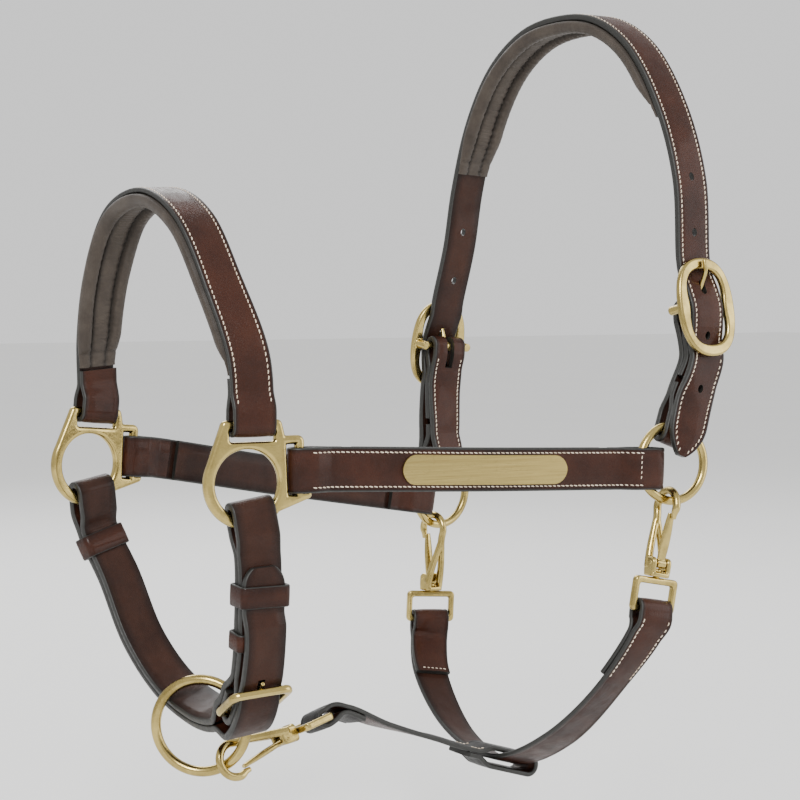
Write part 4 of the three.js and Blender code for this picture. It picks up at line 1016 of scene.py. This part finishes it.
lay(chin.off(middle_layer(chin.s), -1)[tail], chin.across[tail])
lay((chin.at[i] - on_heel * chin.out[i])[None], chin.across[i][None])
lay(*bend(chin, i, on_heel, -1, 1))
lay(chin.off(middle_layer(chin.s))[up_part][::-1], chin.across[up_part][::-1])
lay(*bend(chin, 0, chin_turn, 1, -1))
lay(chin.off(inner(chin.s), -1), chin.across)
lay(*bend(chin, -1, chin_turn, -1, 1))
back = chin.s[out_part][::-1] - tip
narrow = np.maximum(6, STRAP * np.sin(np.pi / 2 * np.minimum(1, (back + 2) / 14) ** 0.6))
lay(chin.off(outer(chin.s))[out_part][::-1], chin.across[out_part][::-1], np.where(back < 14, narrow, STRAP))
route = np.vstack(at), np.vstack(ref)
chin_mesh = ribbon("chin_leather", *route, np.concatenate(width), HEAVY_PLY, STRAP_LOOK, groove=0.0)

first = int(np.argmax(coarse.s >= heel))
above = np.where((coarse.s >= heel - 34) & (coarse.s <= heel - 4))[0]
fronts = [coarse.at[j] + (outer(coarse.s[j]) + on_heel) * coarse.out[j] for j in above]
front = min(fronts, key=lambda p: abs(np.linalg.norm(p - coarse.at[first]) - chin_reach))
bar_x = -coarse.across[first]
to_front = front - coarse.at[first]
to_front = unit(to_front - np.dot(to_front, bar_x) * bar_x)
CHIN_FRAME = axes(bar_x, np.cross(to_front, bar_x), to_front, coarse.at[first])
CHIN_TONGUE = [V(0, 2.2, 2), V(0, 3.2, 8), V(0, 3.6, 16), V(0, 4.1, 24.5), V(0, 4, 29.5)]
tools = [moved(CHIN_FRAME, block(5.6, 13.2, 13.2))] + tongue_room(CHIN_TONGUE, 2.3, CHIN_FRAME, (0, 4.5, 9))
piece("chin_leather", cut(chin_mesh, tools), ["chin_strap"])
square = plate([
    rounded(-19, 19, -chin_bar, chin_reach + chin_bar, 6),
    rounded(-14.4, 14.4, chin_bar, chin_reach - chin_bar, 3),
], 2 * chin_bar, 1.9)
placed("chin_square_buckle", cast("chin_buckle", [square], 0.35), CHIN_FRAME, "chin_buckle")
chin_pin = tube(CHIN_TONGUE, lambda t: 1.5 - 0.35 * t, 24, 14, X)
chin_tongue_mesh = cast("chin_tongue", [tongue_roll, chin_pin], 0.3, 3, 0.5)
placed("chin_buckle_pin", chin_tongue_mesh, CHIN_FRAME, "chin_tongue", "chin_buckle_tongue")

def keeper(name, s, band, below, above, node, body="headcollar"):
    """A leather loop round the layers of the chin strap at s; returns its frame and top."""
    i = coarse.index(s)
    m = axes(coarse.across[i], coarse.along[i], coarse.out[i], coarse.at[i])
    s = coarse.s[i]
    x = STRAP / 2 + FIT + 1
    low, high = -below(s) - HEAVY_PLY / 2 - FIT - 1.2, above(s) + HEAVY_PLY / 2 + FIT + 1.2
    path = rounded(-x, x, low, high, 2.3, 8)
    closed = np.vstack([path[-1:], path, path[:1]])
    tangent = unit(closed[2:] - closed[:-2])
    normal = np.stack([tangent[:, 1], -tangent[:, 0]], 1)
    b = band / 2
    half_section = [(b - 0.5, 0.95), (b, 0.4), (b, -0.4), (b - 0.5, -1)]
    section = [(-y, o) for y, o in half_section[::-1]] + [(0, 1.05)] + half_section
    rows = []
    for p, q in zip(path, normal):
        rows.append(np.array([(p[0] + o * q[0], y, p[1] + o * q[1]) for y, o in section]))
    kinds = [1, 1, 1, 0, 0, 1, 1, 1, 2] * len(path)
    rim = [1, 1, 1, 0.7, 0, 0.7, 1, 1, 1] * len(path)
    mesh = mesh_of(name, *moved(m, lofted(rows, closed=True)), STRAP_LOOK, kinds, rim)
    piece(name, mesh, [node], body=body)
    return m, high + 1.05

m, top = keeper("far_keeper_leather", coarse.total - 32, 13, inner, outer, "far_chin_keeper")
keeper("billet_keeper_leather", 46, 12, inner, outer, "billet_keeper", "outer_keeper")
keeper("inner_keeper_leather", heel - 44, 10, inner, middle_layer, "inner_keeper", "lower_keeper")
rows = []
for y in (-4.4, 4.4):
    a = np.arange(-10, 10.1, 3.35)
    places = put(m, np.stack([a, np.full(len(a), y), np.full(len(a), top - 0.1)], 1))
    ways = [np.repeat(way[None], len(a), 0) for way in (m[:3, 0], -m[:3, 1], m[:3, 2])]
    rows.append((places, *ways))
thread("far_keeper_stitching", rows)

# ---- Floor, light and camera
def floor():
    k = Look("pale_floor")
    colour = k.mix(k.noise(3, 2), (0.86, 0.86, 0.85), (0.89, 0.89, 0.88))
    material = k.done(colour, 0.9, k.bump(k.noise(60, 3), 0.0005, 0.1))
    size, z = 14.0, -0.56
    mesh = bpy.data.meshes.new("floor")
    corners = [(-size, -size, z), (size, -size, z), (size, size, z), (-size, size, z)]
    mesh.from_pydata(corners, [], [[0, 1, 2, 3]])
    mesh.materials.append(material)
    add("floor", mesh)

def area_light(name, place, size, power, target):
    light = bpy.data.lights.new(name, "AREA")
    light.size, light.energy = size, power
    obj = add(name, light)
    obj.location = place
    obj.rotation_euler = (Vector(target) - Vector(place)).to_track_quat("-Z", "Y").to_euler()

floor()
world = bpy.data.worlds.new("studio")
world.use_nodes = True
background = world.node_tree.nodes["Background"]
background.inputs["Color"].default_value = (1.0, 1.0, 1.0, 1.0)
background.inputs["Strength"].default_value = 1.0
bpy.context.scene.world = world
target = (-0.137, 0.0, -0.232)
area_light("key", (-1.5, -1.5, 1.3), 0.9, 62, target)
area_light("fill", (1.6, -1.4, 0.3), 1.6, 22, target)
area_light("back", (0.3, 1.9, 1.2), 1.4, 30, target)

camera = bpy.data.cameras.new("camera")
camera.lens, camera.sensor_width = 91.3, 36.0
camera.clip_start, camera.clip_end = 0.05, 50.0
azimuth, elevation, distance = math.radians(-34), math.radians(3), 1.25
level = math.cos(elevation)
away = Vector((math.sin(azimuth) * level, -math.cos(azimuth) * level, math.sin(elevation)))
holder = add("camera", camera)
holder.location = Vector(target) + away * distance
holder.rotation_euler = (-away).to_track_quat("-Z", "Y").to_euler()
bpy.context.scene.camera = holder
